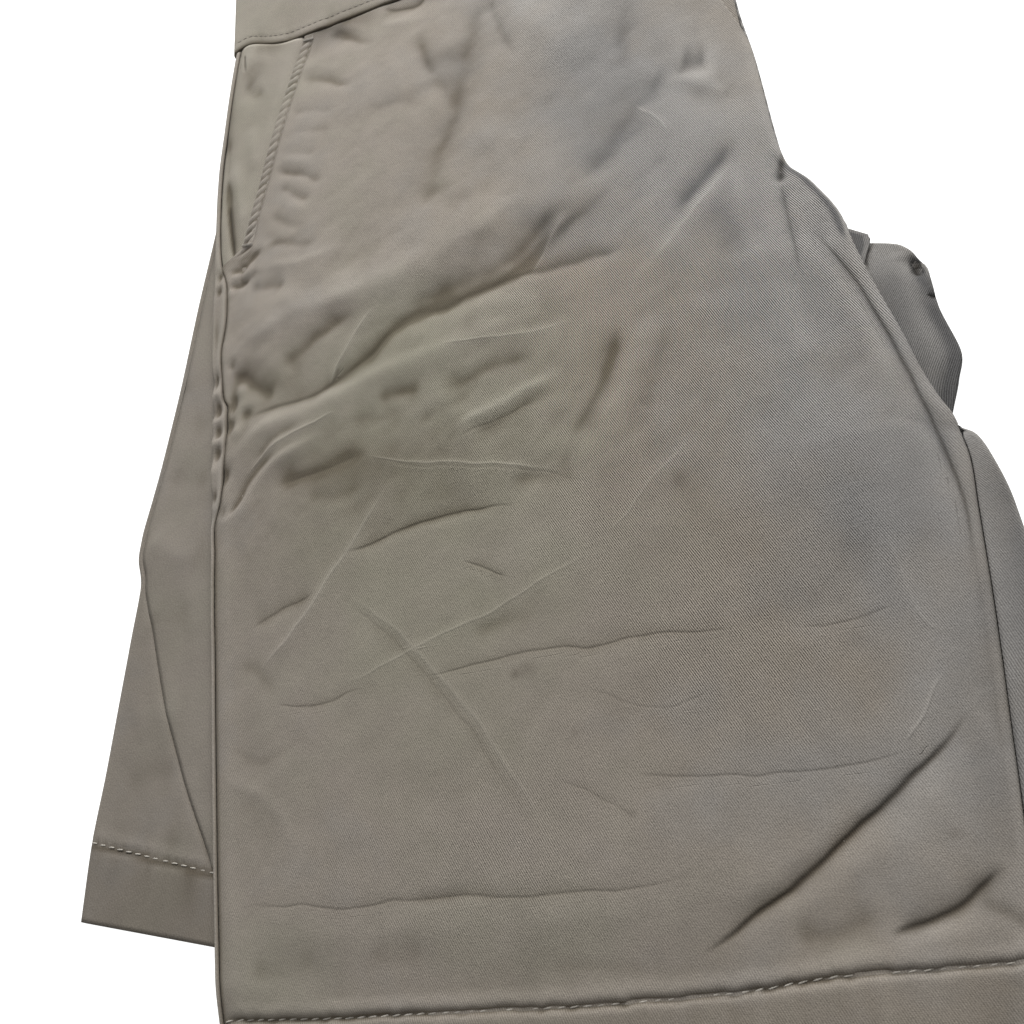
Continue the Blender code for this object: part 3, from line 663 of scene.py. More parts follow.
    (((-30, 414), (-24, 396), (-22, 376)), 4, 5, 2, 0.4),
    (((28, 372), (34, 362), (48, 352)), 5, 5, 3, -0.4),
    (((6, 360), (16, 348), (32, 340)), 6, 6, 3, 0.5),
)


def alsoDrawn(kind):
    # the folds whose row ends in a mark of this kind
    return tuple((row[0], *row[5][1:]) for row in frontFolds if row[5:] and row[5][0] == kind)


# creases thinner than the cells of the cloth, drawn in its finish as a bump with painted shade: line,
# width, depth
frontLines = (
    (((-100, 244.5), (-82, 247.5), (-66, 250), (-57, 253), (-45, 259), (-33, 268), (-22, 272)), 1.1, 0.5),
    (((-22, 272), (-8, 273), (6, 275), (18, 277), (34, 277), (52, 275.5)), 1.4, 0.4),
    (((-63, 249.5), (-58, 253.5), (-55, 259)), 0.7, 0.6),
    (((-98, 59.5), (-66, 59.5), (-36, 58.5), (-10, 58), (16, 56.8), (62, 57)), 0.6, 0.22),
    (((104, 34.5), (114, 37), (122, 40.5), (130, 45), (137, 50)), 0.9, 0.8),
    (((-82, 213.5), (-70, 215), (-58, 216), (-46, 218)), 0.9, 0.2),
    (((-36, 212.4), (-27, 208.7), (-4, 202.7), (14, 197.2), (27, 191.7), (42, 185.4)), 0.6, 0.16),
    (((122.2, 284), (121.8, 268), (121.4, 256), (121, 243)), 0.6, 0.35),
    (((30, 116), (52, 108), (72, 110)), 0.5, 0.12),
    (((-8, 214), (10, 219.5), (24, 224)), 0.6, 0.2),
)

# the same for edges rubbed pale
frontRubs = (
    (((-47, 218.5), (-36, 213.8), (-27, 210.3), (-4, 204.3), (14, 198.8), (27, 193.3)), 0.5, 0.3),
    (((26, 276), (32, 283), (38, 292), (42, 299)), 0.6, 0.35),
    (((72, 267), (84, 277), (96, 288), (109, 299)), 0.7, 0.35),
)

sideLumps = (
    # x, up, half width, half length, rise: puckers where the side seam gathers
    (-105.5, 254, 2.8, 5, -2),
    (-106.5, 244, 2.6, 3.8, -1.8),
    (-98.5, 247, 3, 2.8, -1.2),
    (-101, 259, 2.6, 3.4, 1),
    (-102.6, 240, 2.2, 3, 0.9),
    (-108, 222, 1.8, 3.6, -1.1),
    (-109, 206, 1.6, 3, -0.9),
    (-106, 272, 2.2, 3, -0.9),
    (-108, 309, 1.4, 2.4, 0.6),
)


def lumpHeight(x, up, lumps):
    height = np.zeros(np.shape(x))
    for cx, cu, wide, long, rise in lumps:
        height += rise * np.exp(-(((x - cx) / wide) ** 2) - ((up - cu) / long) ** 2)
    return height


hem = {"up": 24.6, "sag": 1.0, "rightRise": 2.0, "leftRise": 1.4}


def hemLineUp(x):
    # the hem's upper edge sags in the middle and climbs at both ends
    line = hem["up"] - hem["sag"] * hump(x - 22, 40) + hem["rightRise"] * smoothStep(x, 62, 92)
    return line + hem["leftRise"] * (1 - smoothStep(x, -100, -50))


def hemStep(x, up):
    # the turned-up hem is a cloth thicker, and the cloth above slumps over its stitching
    line = up - hemLineUp(x) - 0.35 * softNoise(x, 0 * x, 3.1, 23)
    slump = 0.35 * hump(line - 2.8, 2.2)
    groove = -1.2 * hump(line, 1.1)
    deep = 0.4 * softNoise(x, up * 0.3, 14.0, 22) * hump(line, 13)
    below = smoothStep(-line, 0.5, 3) * np.exp(np.minimum(line, 0) / 16)
    above = smoothStep(line, 0.5, 3) * np.exp(-np.maximum(line, 0) / 4)
    drawn = 0.42 * below * (0.5 + 0.5 * smoothStep(x, 30, 70)) + 0.2 * above
    puckers = softNoise(x, up * 0.08, 3.6, 21) * drawn
    return slump + groove + puckers + deep + 0.45 * (1 - smoothStep(line, -1.5, 0))


def mouthFade(up):
    # the pocket mouth's rope runs out at both of its ends
    return within(up, 322, 334, 436, 443)


def ropePuckers(x, up):
    # the topstitched edge of the pocket mouth, drawn up into short slanting puckers by the wash
    edge = x - mouthX(up)
    wide = pocket["stitchIn"]
    inBand = within(edge, -0.3, 0.7, wide - 1.2, wide + 0.2)
    along = up - 0.5 * edge + 1.3 * softNoise(up, 0 * up, 11, 3)
    pucker = np.sin(math.tau * along / pocket["puckerPitch"])
    pucker = np.where(pucker < 0, 1.5 * pucker, 0.8 * pucker)
    return mouthFade(up) * (0.55 + 0.45 * softNoise(up, 0 * up, 9, 4)) * pucker * inBand


def mouthRope(x, up):
    past = x - mouthX(up) - pocket["stitchIn"]
    rope = 0.4 * (1 - smoothStep(past, -1.2, 0.2)) - 0.5 * hump(past, 0.8)
    return mouthFade(up) * rope + 0.6 * ropePuckers(x, up)


def wander(x, up):
    # the folds wander a little off their lines
    raised = crown(x, up) / core["rise"]
    # those of the crotch run straight
    free = 1 - 0.8 * smoothStep(x, 110, 124) * smoothStep(up, 120, 150)
    aside = 1.4 * softNoise(x, up, 21, 71) + 0.6 * softNoise(x, up, 7, 72)
    along = 1.2 * softNoise(x, up, 18, 73) + 0.6 * softNoise(x, up, 6.5, 74)
    return x - 1.5 * raised + free * aside, up + 4.0 * raised + free * along


def frontRelief(x, up):
    overX, overUp = wander(x, up)
    height = foldHeight(overX, overUp, frontFolds) + lumpHeight(x, up, sideLumps)
    height += 1 - smoothStep(up, 424, 438)
    drift = 0.34 * softNoise(x, up * 0.8, 34, 11) + 0.22 * softNoise(x, up, 15, 12)
    height += drift * (0.6 + 0.4 * smoothStep(up, 120, 240))
    rumpled = 0.65 * smoothStep(up, 165, 200) * (1 - 0.6 * smoothStep(up, 300, 340))
    rumpled = 0.35 + rumpled * (1 - 0.6 * smoothStep(x, 60, 90))
    leaning = up - 0.4 * x
    rumple = 0.17 * softNoise(x * 0.6, leaning, 8.5, 15) + 0.11 * softNoise(x * 0.7, leaning, 4.6, 13)
    height += rumpled * (rumple + 0.05 * softNoise(x, up, 2.7, 14))
    overFacing = hump(x - mouthX(up), 16) * smoothStep(up, 316, 330)
    overShield = smoothStep(x, 84, 98) * smoothStep(up, 330, 350)
    inner = smoothStep(x - legEdge(1, up), 6, 36) * smoothStep(legEdge(3, up) - x, 6, 32)
    height += inner * smoothStep(up, 28, 60) * (1 - smoothStep(up, 400, 430))
    lowest = -1.45 + 1.9 * np.maximum(overFacing, overShield)
    return lowest + np.logaddexp(0, 3.2 * (height - lowest)) / 3.2


reliefMap = {"x": -130.0, "up": -6.0, "step": 0.8, "columns": 380, "rows": 576}


def sampleRelief():
    spec = reliefMap
    x = spec["x"] + spec["step"] * np.arange(spec["columns"])
    up = spec["up"] + spec["step"] * np.arange(spec["rows"])
    z = frontRelief(*np.meshgrid(x, up))
    for _ in range(4):
        # cloth can't turn sharper than its own thickness, so the steepest flanks ease
        steep = smoothStep(np.hypot(*np.gradient(z, spec["step"])), 0.55, 1.1)
        z = z + (blurred(z, 1) - z) * blurred(steep, 1)
    spec["z"] = z


def reliefAt(x, up):
    spec = reliefMap
    gx = np.clip((x - spec["x"]) / spec["step"], 0, spec["columns"] - 1.001)
    gy = np.clip((up - spec["up"]) / spec["step"], 0, spec["rows"] - 1.001)
    i, j = gy.astype(int), gx.astype(int)
    fy, fx = gy - i, gx - j
    z = spec["z"]
    low = z[i, j] * (1 - fx) + z[i, j + 1] * fx
    return low * (1 - fy) + (z[i + 1, j] * (1 - fx) + z[i + 1, j + 1] * fx) * fy


sampleRelief()
print("relief worked out")


def frontZ(x, up):
    x, up = np.broadcast_arrays(np.asarray(x, float), np.asarray(up, float))
    atFold = smoothStep(x - legEdge(1, up), 1.0, 9)
    atInseam = np.maximum(smoothStep(np.maximum(legEdge(4, up) - x, 0), 1.0, 14), smoothStep(up, 174, 184))
    stack = level(4, up) - level(3, up)
    height = reliefAt(x, up) + hemStep(x, up) * (1 - smoothStep(up, 60, 80)) + mouthRope(x, up)
    return rightBackZ(x, up) + stack + height * atFold * atInseam


def waistRise(x, up):
    rise = waist["sideRise"] * hump(x - waist["sideX"], waist["riseWidth"])
    return rise * smoothStep(up, 400, waist["up"])


def rowsOf(low, high, cell):
    return np.linspace(low, high, int(round((high - low) / cell)) + 1)


quarterTurn = np.radians(np.linspace(0, 90, 8))[1:]


def roundFold(x, reach, high, low):
    # half a turn from the height high to low, bulging past x by reach
    turn = np.radians(np.linspace(0, 180, 11))[1:-1]
    return x - reach * np.sin(turn), (high + low) / 2 + (high - low) / 2 * np.cos(turn)


def arcLength(x, z):
    # the way along a run of points, which is what the cloth's grain follows
    return np.concatenate([[0], np.cumsum(np.hypot(np.diff(x), np.diff(z)))])


def edgeRoll(distance, depth, reach):
    # a seam pulls the last of the cloth down into its ditch
    return -depth * np.exp(-np.maximum(distance, 0) / reach)


frontStains = (
    # x, up, half width, half length, strength
    (70, 176, 2.2, 3, 0.35),
    (12, 122, 3.4, 2.6, 0.3),
    (8, 121, 1.6, 1.6, 0.4),
    (127, 59, 2, 1.4, 0.25),
    (41, 74, 1.6, 0.8, 0.3),
    (-60, 247, 2, 1.6, 0.3),
    (26, 100, 1.2, 1.4, 0.2),
    (-20, 118, 1.4, 1, 0.15),
)
frontPaintedShading = (
    # painted shade and painted light in broad patches, where folds and the light's falloff leave the cloth
    # darker or lighter: x, up, half width, half length, lighter or darker
    (-100, 238, 16, 14, -0.09),
    (-52, 214, 26, 12, -0.1),
    (46, 300, 18, 12, -0.08),
    (10, 271, 24, 8, -0.07),
    (-30, 286, 12, 8, 0.07),
    (38, 425, 12, 30, 0.06),
    (20, 100, 160, 130, -0.035),
    (10, 150, 190, 150, -0.08),
    (-60, 232, 50, 40, -0.06),
    (-30, 204, 50, 24, -0.14),
    (-84, 178, 26, 22, -0.07),
    (98, 144, 54, 50, -0.05),
    (126, 158, 16, 26, -0.05),
    (6, 143, 16, 6, -0.05),
    (-60, 214, 24, 7, -0.05),
    (18, 166, 26, 9, 0.05),
    (20, 60, 86, 22, 0.06),
    (38, 420, 20, 30, 0.08),
    (60, 372, 14, 40, -0.08),
    (108, 330, 16, 40, 0.12),
    (96, 262, 12, 24, -0.04),
)
frontPaintedShadingLines = (
    # line, width on its left and right, softness, lighter or darker: painted shade where a fold turns from
    # the light, painted light where it turns towards it, and painted shadow along the waistband's seam
    (((-66, 247), (-52, 253), (-38, 262.5), (-24, 272), (-8, 276), (8, 278), (22, 280.5), (34, 287),
     (46, 296), (60, 303), (70, 307)), 3.2, 3.8, 1.5, -0.34),
    (((12, 278), (28, 279), (42, 278.5), (58, 278)), 3.2, 2.2, 1, -0.26),
    (((-108, 262), (-96, 262), (-84, 257), (-70, 252)), 7, 4, 3, -0.20),
    (((-86, 265), (-74, 271), (-62, 277), (-50, 284)), 3.5, 3.5, 1.5, -0.16),
    (((-98, 286), (-80, 290), (-58, 293), (-36, 297), (-14, 302), (4, 307)), 4.5, 4, 2, 0.22),
    (((8, 296), (24, 302), (44, 314)), 5, 4, 2.5, 0.06),
    (((112, 272), (122, 268), (133, 262)), 8, 8, 4, 0.12),
    (((131, 262), (136, 250), (141, 235), (146, 212)), 2.2, 1.2, 0.8, 0.14),
    (((-112, 224), (-95, 238), (-81, 244), (-60, 247), (-44, 252), (-26, 258)), 2.6, 4, 1.5, 0.14),
    (((0, 266), (14, 267), (30, 266)), 4, 4, 3, 0.10),
    (((58, 256), (72, 268), (84, 278), (96, 289), (109, 300)), 2, 2.6, 1, 0.18),
    (((76, 281), (88, 290), (98, 298), (112, 309)), 5, 3, 2, -0.2),
    (((18, 428), (10, 406), (2.6, 386), (0, 366), (-8, 350), (-13, 332), (-15, 312)), 6, 6, 3, -0.16),
    (((-14, 416), (-8, 398), (-3, 378)), 4, 4, 2, -0.14),
    (((20, 416), (23, 402), (28, 386)), 3, 3, 1.5, -0.14),
    (((-2, 408), (2, 396), (3, 382)), 7, 7, 3, -0.14),
    (((82, 398), (74, 374), (76, 352), (68, 332), (56, 321), (44, 311)), 7, 6, 3, -0.16),
    (((84, 348), (98, 343), (112, 339)), 4, 4, 2, 0.12),
    (((-104, 449), (-70, 446), (-46, 444), (-24, 444)), 5, 5, 2, -0.5),
    (((-108, 322), (-101, 319), (-95, 314)), 5, 5, 2, -0.16),
    (((-14, 236), (0, 240), (12, 242), (26, 241)), 4, 4, 2, -0.14),
    (((-42, 240), (-30, 241), (-16, 240)), 3, 3, 1.5, -0.1),
    (((-10, 218), (8, 225), (23, 230.5), (36, 234)), 2, 2.4, 1, 0.14),
    (((34, 202), (42, 215), (50, 229), (59, 246)), 3.2, 3.2, 1.5, -0.14),
    (((43, 203), (54, 220), (62, 234), (70, 249)), 3, 3, 1.5, 0.08),
    (((60, 206), (68, 224), (76, 242)), 3, 3, 1.5, -0.08),
    (((101, 296), (99, 276), (95, 254)), 8, 6, 4, -0.1),
    (((112, 250), (115, 228), (120, 206)), 4, 5, 2, 0.08),
    (((-92, 439), (-84, 434), (-80, 428)), 4, 4, 2, 0.12),
    (((-56, 440), (-46, 433), (-38, 425)), 3, 2.4, 1.2, -0.16),
    (((-70, 415), (-60, 411), (-50, 406)), 2.6, 2.4, 1.2, -0.16),
    (((-30, 392), (-24, 386), (-14, 382)), 4, 4, 2, -0.06),
)
frontCasts = (
    # x, up, half width, half length, towards cool grey or olive
    (-12, 190, 62, 92, -0.42),
    (-40, 246, 60, 34, -0.25),
    (-96, 415, 26, 34, -0.34),
    (-80, 36, 24, 18, -0.3),
    (4, 38, 26, 20, -0.3),
    (80, 322, 60, 56, 0.44),
    (56, 410, 50, 60, 0.4),
    (124, 236, 48, 84, 0.46),
    (140, 130, 28, 90, 0.34),
    (92, 76, 34, 16, 0.3),
)
frontClear = (
    # x, up, half width, half length: where the ribs stand out, and where fuzz hides them
    (78, 236, 66, 86, 1.35),
    (128, 258, 26, 50, 0.3),
    (-6, 70, 46, 30, 0.34),
    (84, 118, 46, 34, 0.5),
    (-34, 186, 34, 40, 0.2),
    (56, 400, 34, 40, 0.3),
    (104, 40, 34, 18, -0.14),
    (-46, 388, 46, 46, -0.1),
    (-80, 40, 40, 26, -0.06),
)


def buildRightFront(material):
    top = waist["up"] - cloth["gap"]
    # the rows stand closer along the hem's stitching
    ups = np.concatenate([rowsOf(0.2, 17, 1.4)[:-1], rowsOf(17, 31, 0.7)[:-1], rowsOf(31, top, 1.14)])
    edgeIn = np.array((0, 0.5, 1.1, 2.0, 3.2))
    rows, grain = [], []
    columns, anchor = 212, 90  # the grain is measured from the anchor column
    for up in ups:
        blend = smoothStep(up, pocket["bottomUp"] - 3, pocket["bottomUp"] + 3)
        left = mouthX(up) * blend + (legEdge(2, up) + 0.35) * (1 - blend)
        right, turn = legEdge(3, up) - (0.25 if up < 176 else 0), legEdge(5, up)
        middle = np.linspace(left + 4.6, right - foldTurn, columns)
        x = np.concatenate([left + edgeIn, middle])
        z = frontZ(x, up)
        rounded = right - foldTurn + foldTurn * np.sin(quarterTurn)
        flat = right - foldTurn + foldTurn * (quarterTurn / quarterTurn[-1])
        flatZ = frontZ(flat, up)
        roundZ = z[-1] - (foldTurn - 0.15) * (1 - np.cos(quarterTurn))
        tail = flat + (rounded - flat) * turn
        tailZ = flatZ + (roundZ - flatZ) * turn
        x, z = np.concatenate([x, tail]), np.concatenate([z, tailZ])
        seamDepth = 0.6 * (1 - smoothStep(up, 300, 326)) + 0.1
        z = z + edgeRoll(x - left, seamDepth, 0.9)
        z = z + edgeRoll(right - x, 0.7, 1.0) * (1 - smoothStep(up, 170, 186))
        arc = arcLength(x, z)
        rows.append(np.stack([x, up + waistRise(x, up), z], 1))
        grain.append(np.stack([arc - arc[anchor] + x[anchor], np.full_like(x, up)], 1))
    rows = np.array(rows)
    x, up = rows[:, :, 0], rows[:, :, 1]
    overX, overUp = wander(x, up)
    inHem = 1 - smoothStep(up - hemLineUp(x), -1.5, 0.5)
    # painted shade and light: the listed patches, the hem painted darker below its stitching, and the
    # rope's puckers painted dark in their hollows and pale on their crests
    tone = patchSum(overX, overUp, frontPaintedShading) - 0.14 * inHem + 0.26 * ropePuckers(x, up)
    # painted shade and light along the folds
    tone += foldHeight(overX, overUp, frontPaintedShadingLines + alsoDrawn("tone"))
    fromSeam, fromEdge = x - x[:, :1], x[:, -1:] - x
    # a painted shadow along the side seam below the pocket
    tone -= 0.8 * hump(fromSeam, 0.9) * (1 - smoothStep(up, 300, 330))
    # along the front's turned edge near the crotch: a painted highlight at the edge and a painted shadow
    # just inside it
    tone += within(up, 250, 260, 290, 296) * (0.2 * hump(fromEdge, 0.7) - 1.1 * hump(fromEdge - 2.1, 0.9))
    castX, castUp = x + 9 * softNoise(x, up, 26, 81), up + 9 * softNoise(x, up, 24, 82)
    clearX = x + 12 * softNoise(x, up, 20, 83)
    marks = {
        "wearAndShade": np.clip(wearAndShadeOf(rows[:, :, 2]) + tone, 0, 1),
        "stain": np.clip(patchSum(x, up, frontStains), 0, 1),
        "cast": np.clip(0.5 + patchSum(castX, castUp, frontCasts), 0, 1),
        "clear": np.clip(0.24 + patchSum(clearX, up, frontClear), 0.1, 1.9),
    }
    marks |= creaseMarks(overX, overUp, frontLines + alsoDrawn("crease"))
    marks |= creaseMarks(overX, overUp, frontRubs + alsoDrawn("rub"), ("ridge", "rub"))
    return clothShell("rightFrontCloth", rows, grain, material, marks=marks, inside=4, soften=True)


twill = washedTwill("washed cotton twill")
rightFront = buildRightFront(twill)
print("right front:", len(rightFront.data.polygons), "faces")

stripLumps = (
    # x, up, half width, half length, rise: dark dimples along the outseam's rolled edge
    (-114.6, 321, 1.6, 3, -1.3),
    (-114.8, 313, 1.6, 2.4, -1.2),
    (-114.6, 268, 1.8, 4, -1.6),
    (-113.2, 253, 2.4, 4.4, -1.9),
    (-112.6, 243, 2.2, 3.2, -1.7),
    (-112.6, 233, 2.2, 3.2, -1.6),
    (-113.6, 214, 1.6, 3.4, -1.3),
    (-114, 206, 1.4, 3, -0.9),
    (-113.6, 260.5, 2.2, 2.4, 0.9),
    (-113.2, 248.4, 2.2, 1.8, 0.9),
    (-113, 238.2, 2.2, 1.8, 0.9),
    (-113.4, 225, 2.2, 3, 0.8),
    (-115.5, 290, 1.8, 7, -0.5),
)


def buildRightBack(material):
    ups = rowsOf(0.2, waist["up"] - cloth["gap"], 1.3)
    rows, grain, wearAndShade = [], [], []
    for up in ups:
        fold, seam, edge = legEdge(1, up), legEdge(2, up) - 0.1, legEdge(4, up)
        radius = (level(4, up) - level(3, up)) / 2
        inLeg = 1 - smoothStep(up, 172, 178)
        stripX = np.linspace(seam, fold + radius, 6)
        if seam - fold - radius < 1.0:
            stripX = np.linspace(seam, min(fold + radius, seam - 0.8), 6)
        stripZ = frontZ(stripX, up) + lumpHeight(stripX, up, stripLumps)
        stripZ += edgeRoll(seam - stripX, 0.35, 0.8) + 0.25 * hump(seam - 1.4 - stripX, 1.0)
        lowZ = rightBackZ(fold + radius, up)
        arcX, arcZ = roundFold(stripX[-1], stripX[-1] - fold, stripZ[-1], lowZ)
        last = (edge - radius) * inLeg + (edge - 2.2) * (1 - inLeg)
        share = np.linspace(0, 1, 16) ** 1.2
        lowX = fold + radius + (last - fold - radius) * share
        lowWallZ = rightBackZ(lowX, up)
        rightArcX, rightArcZ = roundFold(last, -radius, lowWallZ[-1], lowWallZ[-1] + 2 * radius)
        inseam = legEdge(3, up) + 0.25
        topX = np.linspace(last, min(inseam, last - 0.6), 12)
        topZ = frontZ(topX, up) + edgeRoll(topX - inseam, 0.4, 0.9)
        freeX = last + 0.1 * np.arange(1, len(rightArcX) + len(topX) + 1)
        freeZ = rightBackZ(freeX, up)
        endX = np.concatenate([rightArcX, topX]) * inLeg + freeX * (1 - inLeg)
        endZ = np.concatenate([rightArcZ, topZ]) * inLeg + freeZ * (1 - inLeg)
        x = np.concatenate([stripX, arcX, lowX, endX])
        z = np.concatenate([stripZ, arcZ, lowWallZ, endZ])
        rows.append(np.stack([x, up + waistRise(x, up), z], 1)[::-1])
        grain.append(np.stack([seam - arcLength(x, z), np.full_like(x, up)], 1)[::-1])
        # a painted highlight on the side seam's rolled edge and a painted shadow in the seam
        rim = 0.08 * hump(seam - 1.3 - x, 0.9) - 0.4 * hump(seam - x, 0.5)
        wearAndShade.append((0.48 + rim * (x < seam + 0.1))[::-1])
    rows = np.array(rows)
    wearAndShade = np.clip(np.array(wearAndShade) + 1.2 * np.minimum(wearAndShadeOf(rows[:, :, 2]) - 0.5, 0.1), 0, 1)
    seat = smoothStep(rows[:, :, 0], 110, 118)  # cooler towards the crotch, and painted darker there for its shade
    wearAndShade = np.clip(wearAndShade - 0.14 * seat, 0, 1)
    marks = {"wearAndShade": wearAndShade, "cast": 0.5 + 0.5 * seat, "clear": 0.06 + 0.3 * seat}
    return clothShell("rightBackCloth", rows, grain, material, marks=marks, soften=True)


rightBack = buildRightBack(washedTwill("washed cotton twill, back panel", 0.97))
print("right back:", len(rightBack.data.polygons), "faces")


def leftLegRows(count):
    # each row's outer end, direction and width, its right end's up, the seam and the way from the hem
    table = np.array(leftLeg, float)
    number = np.arange(len(table))
    at = np.linspace(0, len(table) - 1, count)
    smooth = [curveThrough(number, table[:, c], at) for c in range(5)]
    v = 0.0
    before = None
    for leftX, leftUp, seamIn, rightX, rightUp in zip(*smooth):
        start, end = np.array((leftX, leftUp)), np.array((rightX, rightUp))
        v += 0 if before is None else np.hypot(*(start - before))
        before = start
        width = np.hypot(*(end - start))
        yield start, (end - start) / width, width, rightUp, seamIn, v


def alongRow(start, run, aside):
    # x and up of the points this far along a row
    return start[:, None] + run[:, None] * aside


leftRowCount = 230
leftHemRise = 26.0  # along the leg, from its hem to its stitching


def leftHemAt(aside):
    # the hem was turned a little deeper at the outer end
    return leftHemRise + 0.9 - 0.075 * np.minimum(aside, 60)


def leftHemStep(v, aside):
    line = v - leftHemAt(aside)
    groove = -0.6 * hump(line, 1.0)
    slump = 0.35 * hump(line - 2.6, 2.2)
    puckers = 0.4 * softNoise(aside, 0 * aside + v * 0.12, 6.0, 31) * hump(line, 11)
    wave = math.tau * aside / 4.0 + 2 * softNoise(aside, 0 * aside, 9, 32)
    drawn = 0.2 * np.sin(wave) * hump(line - 1.5, 1.5)
    return groove + slump + puckers + drawn + 0.4 * (1 - smoothStep(line, -1.5, 0))


def leftHemShading(grain):
    # the turned-up hem is darker below its stitching, with short puckers painted dark for their shade and a
    # painted shadow just under the stitching
    aside, v = np.moveaxis(np.array(grain), 2, 0)
    line = v - leftHemAt(aside)
    below = 1 - smoothStep(line, -1.5, 0.5)
    puckers = np.minimum(softNoise(aside, 0 * aside + 3, 4.6, 33), 0) * np.exp(np.minimum(line, 0) / 7)
    return below * (0.5 * puckers - 0.12) - 0.45 * hump(line + 0.7, 0.9)


def leftBackZ(x, up):
    down = smoothStep(x - leftLegRightX(up), -9, -1) * (1 - smoothStep(up, 236, 248))
    z = level(2, up)
    return z - (z - floorLevel) * down


leftFolds = (
    # line of (x, up) points, width above it, width below it, softness, rise
    (((-148, 206), (-136, 196), (-122, 190)), 6, 5, 3, 0.8),
    (((-140, 232), (-130, 226), (-116, 224)), 6, 5, 3, -0.6),
    (((-146, 172), (-136, 168), (-122, 170)), 6, 6, 3, -0.5),
    (((-150, 128), (-140, 132), (-126, 130)), 6, 6, 3, 0.5),
    (((-152, 104), (-140, 110), (-124, 108)), 5, 5, 3, -0.4),
    (((-134, 280), (-128, 262), (-122, 240)), 5, 5, 3, -0.5),
)
leftPaintedShading = (
    # painted shade and painted light: darker over the crotch piece and down the leg, lighter by the seat
    # seam, the tuck painted dark with a painted highlight along its edge; x, up, half width, half length,
    # lighter or darker
    (154, 210, 24, 36, -0.2),
    (156, 190, 12, 14, -0.2),
    (148, 226, 6, 16, -0.14),
    (152, 245, 14, 9, 0.26),
    (162, 90, 26, 84, -0.13),
    (158.3, 238, 2, 3.8, -0.9),
    (161.2, 238, 1, 4.4, 0.25),
    (160, 74, 60, 30, -0.06),
    (-146, 150, 20, 50, -0.08),
)
leftPits = (
    # x, up, half width, half length, rise: the tuck and the notch at the seat seam's end
    (158.3, 238, 1.8, 3.4, -2.6),
    (161, 237.5, 0.9, 4.2, 0.9),
    (160.8, 226.2, 1.1, 1.7, -1.4),
    (154.5, 243, 3, 2, 0.5),
)
leftLines = (
    # line, width, depth: the seat seam, the tuck and the notch, each painted dark for its shade
    (((149, 254), (146, 249), (143.8, 246), (143, 240)), 0.5, 0.6),
    (((157.6, 235), (158.2, 238), (158.9, 241.2)), 1.6, 1.2),
    (((159.2, 227.2), (160.2, 226.4), (161.8, 225.6)), 0.7, 1),
)


def buildLeftBack(material):
    rows, grain = [], []
    for start, run, width, up, seamIn, v in leftLegRows(leftRowCount):
        atFront = float(smoothStep(up, 247, 256))
        clear = 1.5 + 7 * float(1 - smoothStep(up, 268, 284))
        right = width - (foldTurn + clear) * atFront
        near = np.linspace(seamIn + 0.4, min(seamIn + 62, right - 60), 34)
        far = np.linspace(right - 22, right, 18)
        aside = np.concatenate([near, np.linspace(near[-1], far[0], 14)[1:-1], far])
        x, lineUp = alongRow(start, run, aside)
        z = leftBackZ(x, lineUp) + foldHeight(x, lineUp, leftFolds) + lumpHeight(x, lineUp, leftPits)
        z += 0.25 * softNoise(x, lineUp, 22, 41) * smoothStep(aside - seamIn, 0, 6)
        z += leftHemStep(v, aside) * (1 - smoothStep(aside, seamIn + 70, seamIn + 90))
        z += edgeRoll(aside - seamIn, 0.45, 1.0)
        rows.append(np.stack([x, lineUp, z], 1))
        grain.append(np.stack([aside, np.full_like(aside, v)], 1))
    rows, grain = np.array(rows), np.array(grain)
    hemShading = leftHemShading(grain)
    x, up = rows[:, :, 0], rows[:, :, 1]
    turn = math.radians(20) * smoothStep(x, 90, 118)[:, :, None]  # the seat's cloth is bunched round
    centre = np.array((300.0, 200.0))
    away = grain - centre
    grain = centre + away * np.cos(turn) + away[:, :, ::-1] * np.array((-1, 1)) * np.sin(turn)
    marks = {
        "wearAndShade": np.clip(wearAndShadeOf(rows[:, :, 2]) + patchSum(x, up, leftPaintedShading) + hemShading, 0, 1),
        "clear": np.where(x > 100, 0.55, 0.14),
        "cast": np.where(x > 100, 1.0, 0.44),
    }
    marks |= creaseMarks(x, up, leftLines)
    return clothShell("leftBackCloth", rows, grain, material, marks=marks, soften=True)


leftBack = buildLeftBack(washedTwill("washed cotton twill, left back", 0.84, -6.0))
print("left back:", len(leftBack.data.polygons), "faces")


